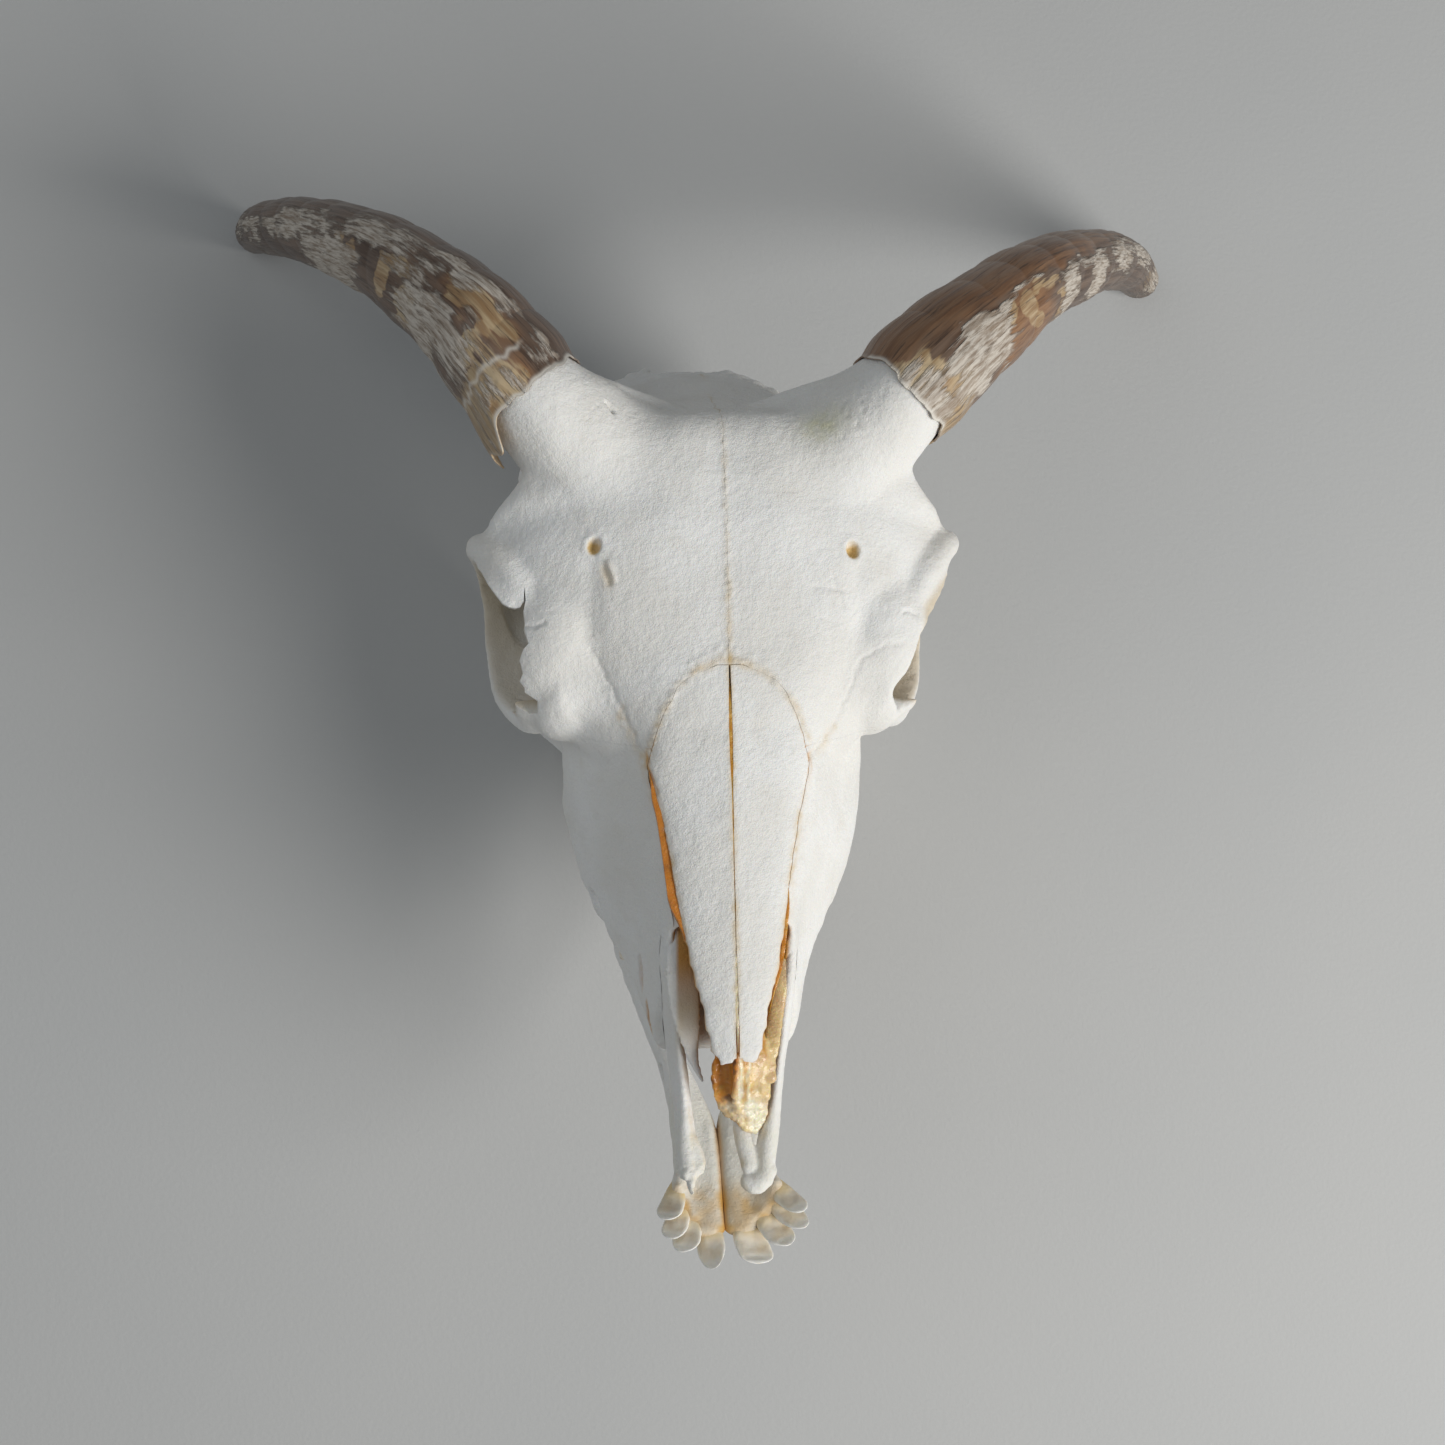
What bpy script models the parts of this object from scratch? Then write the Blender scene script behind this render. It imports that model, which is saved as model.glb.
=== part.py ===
"""Skull of a horned goat with its lower jaw, life size, lying as it rests.

The bones are laid out in a palate frame, in millimetres: x to the animal's left,
s forward from the occipital condyles, h up from the palate. One empty then tips
the whole skull nose-up, so that it rests on both jaw angles and both horn tips.
"""
import math

import bmesh
import bpy
import numpy as np
from mathutils import Matrix, Vector

MM = 0.001
REST_PITCH = math.radians(28.0)
REST_FORWARD = 84.3
REST_LIFT = 13.8
NODE_GAP = 0.35
VOXEL = 1.1
CRANIUM_TRIANGLES = 4700
JAW_TRIANGLES = 640

# Where the named sutures cross the midline, as (s, h).
BROW_LINE = ((46.0, 74.5), (125.0, 41.0))
MAXILLA_LINE = ((136.0, 62.0), (91.0, 6.0))
CORONAL_S = 46.0
CORONAL_X = 33.5
CHEEK_X = 33.0
ARCH_S = 60.0
OCCIPUT_S = 20.0
REACH = 80.0

# Braincase: s, crown, roof half-width, side half-width, side h, base half-width, base h.
BRAINCASE = (
    (7, 41, 12, 23, 32, 13, 22),
    (15, 48, 16, 28, 35, 15, 14),
    (28, 63, 18, 31, 41, 17, 12),
    (42, 77, 20, 32, 45, 17, 11),
    (54, 87, 24, 31, 47, 16, 11),
    (70, 86, 27, 27, 50, 15, 11),
    (85, 80, 28, 24, 45, 14, 11),
    (100, 74, 26, 23, 40, 13, 10),
)
# Forehead shield: s, crown, half-width, fall to the edge, edge thickness.
SHIELD = (
    (51, 83, 36, 2, 9),
    (56, 90, 42, 3, 12),
    (61, 94.6, 44, 6, 12),
    (67, 95.6, 46, 8, 12),
    (73, 94, 50.5, 13, 8),
    (77, 92.8, 56, 18, 7.5),
    (80.5, 91.2, 58, 23, 7),
    (87, 88.5, 55, 19, 6.5),
    (95, 84.5, 50, 15, 6),
    (104, 80, 47.5, 16, 6),
    (113, 75.3, 45.5, 21, 7),
    (121, 71.5, 38, 22, 9),
    (130, 66.8, 30, 20, 9),
)
# Face: s, crown, roof half-width, cheek half-width, cheek h, gum half-width, gum h, palate h.
FACE = (
    (90, 62, 20, 25, 34, 23, 6, 10),
    (104, 76, 24, 36, 30, 28, 3, 8),
    (118, 71, 22, 38.6, 28, 30, 0, 6),
    (132, 65, 19.5, 36.5, 22, 31, -1, 5),
    (145, 59, 17.5, 34, 16, 30, -1, 5),
    (158, 52.5, 15.5, 29, 13, 25.5, -1, 4),
    (170, 46.7, 13.5, 24, 10, 19.5, -1, 3),
    (181, 41.5, 12, 20, 8, 15.5, 0, 2),
    (190, 37, 10.8, 17.5, 7, 13.5, 0.5, 1),
)
# Hollow of the nose: s, roof, half-width at the roof, half-width at the floor, floor.
NOSE_HOLLOW = (
    (128, 58, 8, 6, 26),
    (138, 62, 15.5, 9, 16),
    (158, 58, 14, 12, 10),
    (176, 54, 13.2, 11.5, 8),
    (202, 52, 14, 9.5, 6.5),
)
# Side view, as (s, h), of the open front of the nose, above the premaxillae.
NOSE_MOUTH = ((171, 60), (173, 38), (179, 28), (184, 18), (187, 9), (191, 4), (210, 4), (210, 60))
# Nasal bones along the ridge: s, half-width.
NASAL_WIDTHS = (
    (118.6, 3.0), (121.0, 9.0), (126.0, 14.5), (132.0, 17.6), (138.0, 17.9),
    (148.0, 16.8), (158.0, 15.0), (170.0, 13.0), (180.0, 11.4), (191.0, 8.7),
    (199.0, 5.8), (203.4, 2.4),
)
NASAL_RIDGE = ((118.0, 72.6), (138.0, 63.4), (160.0, 52.6), (182.0, 41.6), (203.4, 30.6))
NASAL_THICKNESS = 2.3
FISSURE = 1.6
# Lower edge of the partition in the nose, as (s, h).
PARTITION_FOOT = ((142.0, 17.5), (158.0, 11.6), (176.0, 9.4), (196.0, 9.2), (212.0, 13.0))
PARTITION_HALF = 1.1

# Rim of the left orbit, as (x, s, h), round from the process behind the eye.
ORBIT_RIM = (
    (59.0, 80.5, 66.0), (55.0, 87.0, 70.5), (49.0, 96.0, 70.0), (45.5, 107.0, 63.0),
    (44.0, 114.5, 50.0), (46.0, 112.0, 37.0), (50.0, 101.5, 30.0), (52.0, 89.5, 32.0),
    (54.0, 80.5, 42.0), (56.5, 77.8, 55.0),
)
ORBIT_RIM_RADIUS = 4.2
ORBIT_CENTRE = (52.0, 97.5, 50.5)
ORBIT_RADII = (27.0, 17.4, 18.6)
# Bite out of the roof of the right orbit.
BROKEN_RIM = (-55.0, 98.5, 71.0)
BROKEN_RIM_RADII = (8.8, 12.0, 8.0)

# Premaxilla, from its end beside the nasal to the front of the muzzle.
PREMAXILLA_AXIS = (
    (15.4, 165.0, 38.0), (14.9, 177.0, 26.0), (13.4, 190.0, 11.4), (11.2, 204.0, 6.2),
    (8.8, 217.0, 3.2), (7.6, 224.0, 2.6),
)
PREMAXILLA_SIZES = ((1.7, 2.2), (2.4, 4.0), (2.7, 8.0), (2.8, 5.6), (3.1, 3.4), (2.8, 2.2))

# Jaw body: s, upper edge, lower edge, x, half-thickness.
JAW_BODY = (
    (47, -12, -31, 39, 2.4),
    (55, -4, -44, 37.8, 2.9),
    (66, 2, -48.3, 35.6, 3.2),
    (78, 1, -48.0, 32.5, 3.8),
    (92, -9, -46, 28.8, 4.7),
    (105, -14, -43, 26.2, 5.2),
    (120, -17.2, -40, 23.8, 5.2),
    (135, -18.6, -37.5, 21.4, 5.0),
    (150, -19.4, -35, 18.8, 4.7),
    (164, -19.6, -33.4, 15.6, 4.1),
    (178, -20, -32, 12.0, 3.6),
    (190, -20, -31, 9.2, 3.7),
    (202, -19.5, -30, 7.2, 4.8),
    (214, -19.5, -28.2, 6.2, 5.6),
    (224, -20.5, -26.5, 6.4, 5.8),
)
# Jaw ramus: h, rear edge s, front edge s, x, half-thickness.
JAW_RAMUS = (
    (-36, 53, 84, 36.2, 3.2),
    (-18, 43.5, 88, 36.6, 2.9),
    (0, 41.5, 84, 37.6, 2.6),
    (18, 42, 78, 39, 2.4),
    (30, 42.5, 73, 40.4, 2.3),
)

# Left horn's axis in the rest pose, as (x, y back, z), and its half-sizes across and deep.
HORN_AXIS = (
    (44.5, 79.0, 121.0), (54.3, 89.7, 119.0), (64.0, 99.5, 113.5), (83.6, 116.0, 95.0),
    (107.0, 129.5, 62.0), (123.5, 136.3, 30.0), (132.3, 138.5, 6.6),
)
HORN_SIZES = (
    (15.4, 19.4), (14.2, 17.6), (12.9, 15.8), (10.8, 13.0), (8.4, 10.2), (6.7, 7.8), (5.4, 6.0),
)
HORN_DRIFT = (12.0, -6.0)
GROWTH_RINGS = 6
RING_DEPTH = 0.02
HORN_STEPS = 18
# Root of the horn's bony core in the palate frame, and the core's size inside the sheath.
CORE_ROOT = ((24.0, 72.0, 70.0), (32.0, 62.5, 82.0))
CORE_ROOT_SIZES = ((17.0, 17.0), (15.6, 17.0))
CORE_TIP_SIZE = (7.0, 9.0)
SHEATH_WALL = 2.4
BOSS_SPREAD = 1.2

# Cheek teeth from front to back: s, x, length, width.
UPPER_TEETH = (
    (158.5, 20.6, 7.0, 8.0), (150.6, 22.6, 7.6, 9.0), (142.6, 23.8, 7.6, 10.2),
    (132.4, 24.6, 11.8, 11.4), (118.6, 24.6, 14.4, 11.8), (102.6, 23.4, 16.6, 11.0),
)
LOWER_TEETH = (
    (160.6, 16.6, 5.6, 5.0), (153.6, 18.2, 7.2, 6.0), (145.2, 19.8, 8.4, 6.8),
    (134.2, 21.6, 12.2, 7.6), (120.2, 23.6, 14.4, 7.9), (102.4, 25.6, 19.4, 7.6),
)
UPPER_CROWN, UPPER_ROOT = -8.6, 9.0
LOWER_CROWN, LOWER_ROOT = -9.0, -26.0
# Front teeth by side, from the middle outwards: root, tip and half-width of the blade.
INCISORS = {
    1: (
        ((3.4, 221.0, -23.5), (6.4, 239.4, -18.8), 4.6),
        ((6.0, 219.0, -23.2), (13.6, 234.0, -17.6), 3.8),
        ((8.0, 216.0, -22.6), (17.8, 229.0, -16.4), 3.2),
        ((9.4, 211.5, -21.6), (17.0, 223.0, -14.6), 2.9),
    ),
    -1: (
        ((-3.0, 221.0, -23.5), (-4.4, 239.4, -18.8), 3.5),
        ((-6.0, 219.0, -23.2), (-12.2, 234.0, -17.8), 3.2),
        ((-8.0, 216.0, -22.6), (-14.0, 229.4, -16.8), 2.8),
        ((-9.2, 211.5, -21.6), (-13.8, 223.6, -15.0), 2.9),
    ),
}

BONE = ("bone", (0.86, 0.85, 0.81, 1.0), 0.75)
HORN = ("horn", (0.24, 0.14, 0.08, 1.0), 0.45)
CARTILAGE = ("dried_cartilage", (0.78, 0.52, 0.14, 1.0), 0.4)


def local(point):
    """Place of a palate-frame point in the skull's own metres."""
    return Vector((point[0], -point[1], point[2])) * MM


def from_rest(point):
    """Palate-frame place of a point given in the rest pose."""
    forward, height = REST_FORWARD - point[1], point[2] - REST_LIFT
    return (point[0], forward * math.cos(REST_PITCH) + height * math.sin(REST_PITCH),
            height * math.cos(REST_PITCH) - forward * math.sin(REST_PITCH))


def rest_up():
    """The rest pose's upward direction in the palate frame."""
    return (0.0, math.sin(REST_PITCH), math.cos(REST_PITCH))


def follow(keys, rows, at):
    """Rows read off a smooth curve through the given ones."""
    keys, rows, at = np.asarray(keys, float), np.asarray(rows, float), np.asarray(at, float)
    slopes = np.gradient(rows, keys, axis=0)
    i = np.clip(np.searchsorted(keys, at) - 1, 0, len(keys) - 2)
    span = keys[i + 1] - keys[i]
    t = (at - keys[i]) / span
    if rows.ndim > 1:
        span, t = span[:, None], t[:, None]
    return ((2 * t**3 - 3 * t**2 + 1) * rows[i] + (t**3 - 2 * t**2 + t) * span * slopes[i]
            + (3 * t**2 - 2 * t**3) * rows[i + 1] + (t**3 - t**2) * span * slopes[i + 1])


def outline(points, count):
    """Closed smooth outline through the points, as so many places."""
    points = np.asarray(points, float)
    steps = np.arange(count) * len(points) / count
    i = steps.astype(int)
    t = (steps - i)[:, None]
    before, here, ahead, after = (points[(i + k) % len(points)] for k in (-1, 0, 1, 2))
    return 0.5 * (2 * here + (ahead - before) * t
                  + (2 * before - 5 * here + 4 * ahead - after) * t**2
                  + (3 * here - before - 3 * ahead + after) * t**3)


def mirrored_outline(half):
    """Whole outline from its left half, whose first and last points lie on the midline."""
    return list(half) + [(-x, h) for x, h in half[-2:0:-1]]


def body_from(name, form):
    """Object made from a bmesh, with its faces turned outwards."""
    bmesh.ops.recalc_face_normals(form, faces=form.faces)
    mesh = bpy.data.meshes.new(name)
    form.to_mesh(mesh)
    form.free()
    body = bpy.data.objects.new(name, mesh)
    bpy.context.scene.collection.objects.link(body)
    return body


def bridge(form, near, far):
    """Faces between two rings of vertices."""
    for k in range(len(near)):
        nxt = (k + 1) % len(near)
        form.faces.new((near[k], near[nxt], far[nxt], far[k]))


def solid(name, rings, closed=False):
    """Body through rings of palate-frame points: end to end, or round in a hoop."""
    form = bmesh.new()
    rows = [[form.verts.new(local(point)) for point in ring] for ring in rings]
    for near, far in zip(rows, rows[1:]):
        bridge(form, near, far)
    if closed:
        bridge(form, rows[-1], rows[0])
    else:
        for ring in (rows[0], rows[-1]):
            middle = form.verts.new(sum((vert.co for vert in ring), Vector()) / len(ring))
            for k in range(len(ring)):
                form.faces.new((ring[k], ring[(k + 1) % len(ring)], middle))
    return body_from(name, form)


def lofted(name, rows, section, steps, count=32, upright=False):
    """Body whose sections follow the rows along s, or along h where it stands upright."""
    rows = np.asarray(rows, float)
    stations = np.linspace(rows[0, 0], rows[-1, 0], steps)
    rings = []
    for key, row in zip(stations, follow(rows[:, 0], rows[:, 1:], stations)):
        ring = outline(section(row), count)
        rings.append([(x, v, key) if upright else (x, key, v) for x, v in ring])
    return solid(name, rings)


def tube(name, axis, sizes, steps=14, count=14, up=(0.0, 0.0, 1.0), domes=(True, True)):
    """Elliptical bar along a smooth axis, with a domed or a flat end at each side."""
    keys = np.arange(len(axis))
    at = np.linspace(0, len(axis) - 1, steps)
    middles, halves = follow(keys, axis, at), follow(keys, sizes, at)
    ways = np.gradient(middles, axis=0)
    ways /= np.linalg.norm(ways, axis=1)[:, None]

    def ring(k, shift, scale):
        side = np.cross(ways[k], up)
        side /= np.linalg.norm(side)
        top = np.cross(side, ways[k])
        centre = middles[k] + ways[k] * shift
        return [centre + scale * (halves[k][0] * math.cos(a) * side + halves[k][1] * math.sin(a) * top)
                for a in np.arange(count) * 2 * math.pi / count]

    dome = [(math.sin(a), math.cos(a)) for a in (math.radians(30), math.radians(62))]
    rings = [ring(k, 0.0, 1.0) for k in range(steps)]
    if domes[0]:
        rings = [ring(0, -min(halves[0]) * reach, scale) for scale, reach in dome] + rings
    if domes[1]:
        rings += [ring(steps - 1, min(halves[-1]) * reach, scale) for scale, reach in reversed(dome)]
    return solid(name, rings)


def hoop(name, axis, radius, steps=48, count=12):
    """Closed ring of round section through the points."""
    middles = outline(axis, steps)
    ways = np.roll(middles, -1, axis=0) - np.roll(middles, 1, axis=0)
    ways /= np.linalg.norm(ways, axis=1)[:, None]
    rings = []
    for middle, way in zip(middles, ways):
        out = middle - middles.mean(axis=0)
        out -= way * out.dot(way)
        out /= np.linalg.norm(out)
        side = np.cross(way, out)
        rings.append([middle + radius * (math.cos(a) * out + math.sin(a) * side)
                      for a in np.arange(count) * 2 * math.pi / count])
    return solid(name, rings, closed=True)


def egg(name, centre, radii, lean=0.0, segments=20):
    """Ellipsoid, tipped nose-up by lean degrees."""
    form = bmesh.new()
    bmesh.ops.create_uvsphere(form, u_segments=segments, v_segments=segments // 2, radius=1.0)
    place = (Matrix.Translation(local(centre)) @ Matrix.Rotation(math.radians(-lean), 4, "X")
             @ Matrix.Diagonal((*(Vector(radii) * MM), 1.0)))
    bmesh.ops.transform(form, matrix=place, verts=form.verts)
    return body_from(name, form)


def prism(name, profile, x_from, x_to):
    """Body of one side-view profile between two values of x."""
    form = bmesh.new()
    ends = [[form.verts.new(local((x, s, h))) for s, h in profile] for x in (x_from, x_to)]
    bridge(form, *ends)
    for end in ends:
        form.faces.new(end)
    return body_from(name, form)


def slab(name, corners):
    """Flat knife under the palate-frame corners, as thick as the gap between bones."""
    places = [local(corner) for corner in corners]
    normal = (places[1] - places[0]).cross(places[2] - places[0]).normalized()
    form = bmesh.new()
    ends = [[form.verts.new(place + normal * NODE_GAP * MM * half) for place in places]
            for half in (-0.5, 0.5)]
    bridge(form, *ends)
    for end in ends:
        form.faces.new(end)
    return body_from(name, form)


def both(body):
    """A piece and its twin on the other side of the midline."""
    form = bmesh.new()
    form.from_mesh(body.data)
    bmesh.ops.scale(form, vec=(-1.0, 1.0, 1.0), verts=form.verts)
    return [body, body_from(body.name + "_twin", form)]


def settle(body):
    """Keep the body as its modifiers leave it."""
    graph = bpy.context.evaluated_depsgraph_get()
    mesh = bpy.data.meshes.new_from_object(body.evaluated_get(graph))
    body.modifiers.clear()
    body.data = mesh


def boolean(body, others, operation):
    """Join the others to the body, or cut them from it, and remove them."""
    group = bpy.data.collections.new("group")
    bpy.context.scene.collection.children.link(group)
    for other in others:
        group.objects.link(other)
    change = body.modifiers.new("boolean", "BOOLEAN")
    change.operation = operation
    change.operand_type = "COLLECTION"
    change.collection = group
    change.solver = "MANIFOLD"
    settle(body)
    for other in others:
        bpy.data.objects.remove(other)
    bpy.data.collections.remove(group)
    return body


def fused(pieces):
    return boolean(pieces[0], pieces[1:], "UNION")


def carved(body, cutters):
    return boolean(body, cutters, "DIFFERENCE")


def shells(body):
    """The body's closed surfaces, each as a bmesh, largest first."""
    whole = bmesh.new()
    whole.from_mesh(body.data)
    whole.faces.ensure_lookup_table()
    seen, found = set(), []
    for face in whole.faces:
        if face.index in seen:
            continue
        seen.add(face.index)
        stack, shell = [face], set()
        while stack:
            current = stack.pop()
            shell.add(current.index)
            for edge in current.edges:
                for other in edge.link_faces:
                    if other.index not in seen:
                        seen.add(other.index)
                        stack.append(other)
        found.append(shell)
    parts = []
    for shell in found:
        part = whole.copy()
        part.faces.ensure_lookup_table()
        drop = [face for face in part.faces if face.index not in shell]
        bmesh.ops.delete(part, geom=drop, context="FACES")
        parts.append(part)
    whole.free()
    return sorted(parts, key=lambda part: abs(part.calc_volume()), reverse=True)


def largest(body):
    """Keep only the largest closed surface."""
    parts = shells(body)
    mesh = bpy.data.meshes.new(body.name)
    parts[0].to_mesh(mesh)
    for part in parts:
        part.free()
    body.data = mesh
    return body


def grown_over(body, rounds, triangles):
    """Draw one smooth skin over the fused pieces, of about so many triangles."""
    skin = body.modifiers.new("skin", "REMESH")
    skin.mode = "VOXEL"
    skin.voxel_size = VOXEL * MM
    soften = body.modifiers.new("soften", "SMOOTH")
    soften.factor = 0.5
    soften.iterations = rounds
    settle(body)
    largest(body)
    faces = sum(len(polygon.vertices) - 2 for polygon in body.data.polygons)
    thin = body.modifiers.new("thin", "DECIMATE")
    thin.ratio = min(1.0, triangles / faces)
    settle(body)
    return body


def finish(body, name, look, empty):
    """Name a node, colour it, round its shading and hang it from the empty."""
    title, colour, roughness = look
    material = bpy.data.materials.new(name + "_" + title)
    material.use_nodes = True
    shader = material.node_tree.nodes["Principled BSDF"]
    shader.inputs["Base Color"].default_value = colour
    shader.inputs["Roughness"].default_value = roughness
    shader.inputs["Metallic"].default_value = 0.0
    body.name = name
    body.data.name = name
    body.data.materials.clear()
    body.data.materials.append(material)
    body.data.shade_smooth()
    body.data.set_sharp_from_angle(angle=math.radians(50))
    body.parent = empty
    return body


def line_at(line, s):
    """Height of a midline cut at s."""
    (s0, h0), (s1, h1) = line
    return h0 + (h1 - h0) * (s - s0) / (s1 - s0)


def line_back(line, h):
    """The s of a midline cut at height h."""
    (s0, h0), (s1, h1) = line
    return s0 + (s1 - s0) * (h - h0) / (h1 - h0)


def brow_meets_maxilla():
    """Side-view place where the brow cut ends on the maxilla cut."""
    (s0, h0), (s1, h1) = BROW_LINE
    slope = (h1 - h0) / (s1 - s0)
    (s2, h2), (s3, h3) = MAXILLA_LINE
    steep = (h3 - h2) / (s3 - s2)
    s = (h0 - slope * s0 - h2 + steep * s2) / (steep - slope)
    return s, h0 + slope * (s - s0)


def braincase_section(row):
    crown, roof_w, side_w, side_h, base_w, base_h = row
    rise = crown - side_h
    return mirrored_outline([
        (0, crown), (0.8 * roof_w, crown - 0.08 * rise), (0.45 * roof_w + 0.55 * side_w, crown - 0.42 * rise),
        (side_w, side_h), (0.4 * side_w + 0.6 * base_w, 0.3 * side_h + 0.7 * base_h),
        (0.8 * base_w, base_h), (0, base_h - 1)])


def shield_section(row):
    crown, width, fall, edge = row
    return mirrored_outline([
        (0, crown), (0.5 * width, crown - 0.12 * fall), (0.82 * width, crown - 0.5 * fall),
        (width, crown - fall), (0.97 * width, crown - fall - edge),
        (0.72 * width, crown - 0.6 * fall - edge - 3), (0.4 * width, crown - 24), (0, crown - 30)])


def face_section(row):
    crown, roof_w, cheek_w, cheek_h, gum_w, gum_h, palate = row
    return mirrored_outline([
        (0, crown), (0.75 * roof_w, crown - 1.5), (roof_w + 2, crown - 7),
        (0.45 * roof_w + 0.55 * cheek_w, 0.5 * crown + 0.5 * cheek_h), (cheek_w, cheek_h),
        (gum_w, gum_h), (0.72 * gum_w, gum_h + 0.5), (0.55 * gum_w, palate), (0, palate + 1)])


def hollow_section(row):
    roof, roof_w, floor_w, floor = row
    return mirrored_outline([(0, roof), (0.8 * roof_w, roof - 1), (roof_w, 0.65 * roof + 0.35 * floor),
                             (floor_w, 0.2 * roof + 0.8 * floor), (0.6 * floor_w, floor), (0, floor)])


def plate_section(row):
    """Rounded plate between two edges, about x."""
    top, bottom, x, half = row
    rim = 0.13 * (top - bottom)
    left = [(x + 0.8 * half, top - rim), (x + half, 0.5 * (top + bottom)), (x + 0.8 * half, bottom + rim)]
    return [(x, top)] + left + [(x, bottom)] + [(2 * x - a, b) for a, b in reversed(left)]


def horn_axis(side):
    """One horn's axis in the palate frame. The two differ by a drift that grows to the tips."""
    last = len(HORN_AXIS) - 1
    drift = [(k / last) ** 1.5 for k in range(last + 1)]
    return [from_rest((side * x + d * HORN_DRIFT[0], y + side * d * HORN_DRIFT[1], z))
            for d, (x, y, z) in zip(drift, HORN_AXIS)]


def horn_core(side, spread):
    """Bony core, from inside the forehead to its domed end inside the sheath."""
    axis = [(side * x, s, h) for x, s, h in CORE_ROOT] + horn_axis(side)[:3]
    sizes = list(CORE_ROOT_SIZES)
    sizes += [(a - SHEATH_WALL, b - SHEATH_WALL) for a, b in HORN_SIZES[:2]] + [CORE_TIP_SIZE]
    sizes = [(a + spread, b + spread) for a, b in sizes]
    return tube("horn_core", axis, sizes, steps=8, count=14, up=rest_up())


def horn_boss(side):
    """Bone that swells round the core and stops just short of the sheath."""
    root, rim = CORE_ROOT[1], horn_axis(1)[0]
    end = [a + 0.93 * (b - a) for a, b in zip(root, rim)]
    sizes = [(a + BOSS_SPREAD, b + BOSS_SPREAD) for a, b in CORE_ROOT_SIZES]
    sizes.append([a - SHEATH_WALL + BOSS_SPREAD for a in HORN_SIZES[0]])
    axis = [(side * x, s, h) for x, s, h in (*CORE_ROOT, end)]
    return tube("horn_boss", axis, sizes, steps=9, count=24, up=rest_up(), domes=(True, False))


def horn_form(side, spread=0.0):
    """Whole outside of one horn with faint growth rings and a blunt tip."""
    middles = horn_axis(side)
    keys = np.arange(len(middles))
    start = -spread / np.linalg.norm(np.subtract(middles[1], middles[0]))
    at = np.linspace(start, keys[-1], HORN_STEPS)
    fade = np.clip((keys[-1] - at) / 2, 0, 1)
    swell = 1.0 + RING_DEPTH * fade * np.sin(at / keys[-1] * 2 * math.pi * GROWTH_RINGS)
    sizes = follow(keys, HORN_SIZES, at) * swell[:, None] + spread
    axis = follow(keys, middles, at)
    return tube("horn", axis, sizes, steps=HORN_STEPS, count=16, up=rest_up(), domes=(False, True))


def horn_sheath(side):
    """Horn, hollow at its foot for the core."""
    return carved(horn_form(side), [horn_core(side, NODE_GAP)])


def nasal_bone(side, spread=0.0, above=0.0, fissure=0.0):
    """One nasal bone, a domed strip; spread out all round it is the bed it lies in."""
    widths = np.asarray(NASAL_WIDTHS)
    stations = np.concatenate([np.linspace(118.6, 132, 6), np.linspace(136, 203.4, 12)])
    ridge = follow([s for s, _ in NASAL_RIDGE], [h for _, h in NASAL_RIDGE], stations)
    reach = follow(widths[:, 0], widths[:, 1], stations)
    inner = -spread if spread else NODE_GAP / 2
    rings = []
    for s, h, width in zip(stations, ridge, reach):
        wide = width + spread + fissure * min(max((s - 138) / 30, 0), 1)
        across = np.linspace(inner, wide, 5)
        fall = 0.16 * np.abs(across) + 2.2 * (np.abs(across) / width) ** 4 * (width / 18)
        top = [(side * x, s, h - d + above) for x, d in zip(across, fall)]
        low = [(side * x, s, h - d - NASAL_THICKNESS - spread) for x, d in zip(across, fall)]
        rings.append(top + low[::-1])
    rings[0] = [(x, s - 2 * spread, h) for x, s, h in rings[0]]
    rings[-1] = [(x, s + 3 * spread, h) for x, s, h in rings[-1]]
    return solid("nasal", rings)


def partition():
    """Dried partition of the nose, with the flap that curls over to the left."""
    foot_s = [s for s, _ in PARTITION_FOOT]
    stations = np.linspace(foot_s[0], foot_s[-1], 9)
    foot = follow(foot_s, [h for _, h in PARTITION_FOOT], stations)
    ridge = follow([s for s, _ in NASAL_RIDGE], [h for _, h in NASAL_RIDGE], stations)
    top = np.minimum(ridge, 30.6 - 1.3 * (stations - 203.4)) - NASAL_THICKNESS - 1.5 * NODE_GAP
    rings = [[(PARTITION_HALF, s, low), (PARTITION_HALF, s, high),
              (-PARTITION_HALF, s, high), (-PARTITION_HALF, s, low)]
             for s, low, high in zip(stations, foot, top)]
    flap = tube("flap", [(0.0, 203.0, 18.0), (4.5, 206.0, 17.0), (7.6, 208.0, 14.6)],
                [(5.0, 1.3), (6.0, 1.4), (4.0, 1.2)], steps=6, count=10)
    return fused([solid("partition", rings), flap])


def premaxilla_rod(side, spread):
    axis = [(side * x, s, h) for x, s, h in PREMAXILLA_AXIS]
    sizes = [(a + spread, b + spread) for a, b in PREMAXILLA_SIZES]
    return tube("premaxilla", axis, sizes, steps=10, count=10)


def premaxilla(side):
    """Rod along the nose opening. The left one keeps its palatine process, the right is broken."""
    if side > 0:
        extra = [
            tube("palatine_process", [(4.0, 196.0, 6.0), (4.2, 209.0, 5.0), (5.0, 221.0, 3.2)],
                 [(1.2, 1.6), (1.7, 2.2), (2.0, 2.0)], steps=6, count=10),
            tube("muzzle_end", [(8.2, 223.0, 2.6), (4.6, 223.5, 2.6)], [(2.6, 2.2), (2.2, 2.0)],
                 steps=3, count=10),
        ]
    else:
        extra = [
            egg("knob", (-6.2, 215.5, 3.6), (3.4, 3.6, 2.0), segments=12),
            tube("splinter", [(-13.0, 184.0, 21.0), (-9.5, 192.0, 17.5), (-5.0, 202.0, 14.5)],
                 [(1.3, 1.3), (1.5, 1.0), (0.9, 0.7)], steps=5, count=8),
        ]
    return fused([premaxilla_rod(side, 0.0)] + extra)


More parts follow.
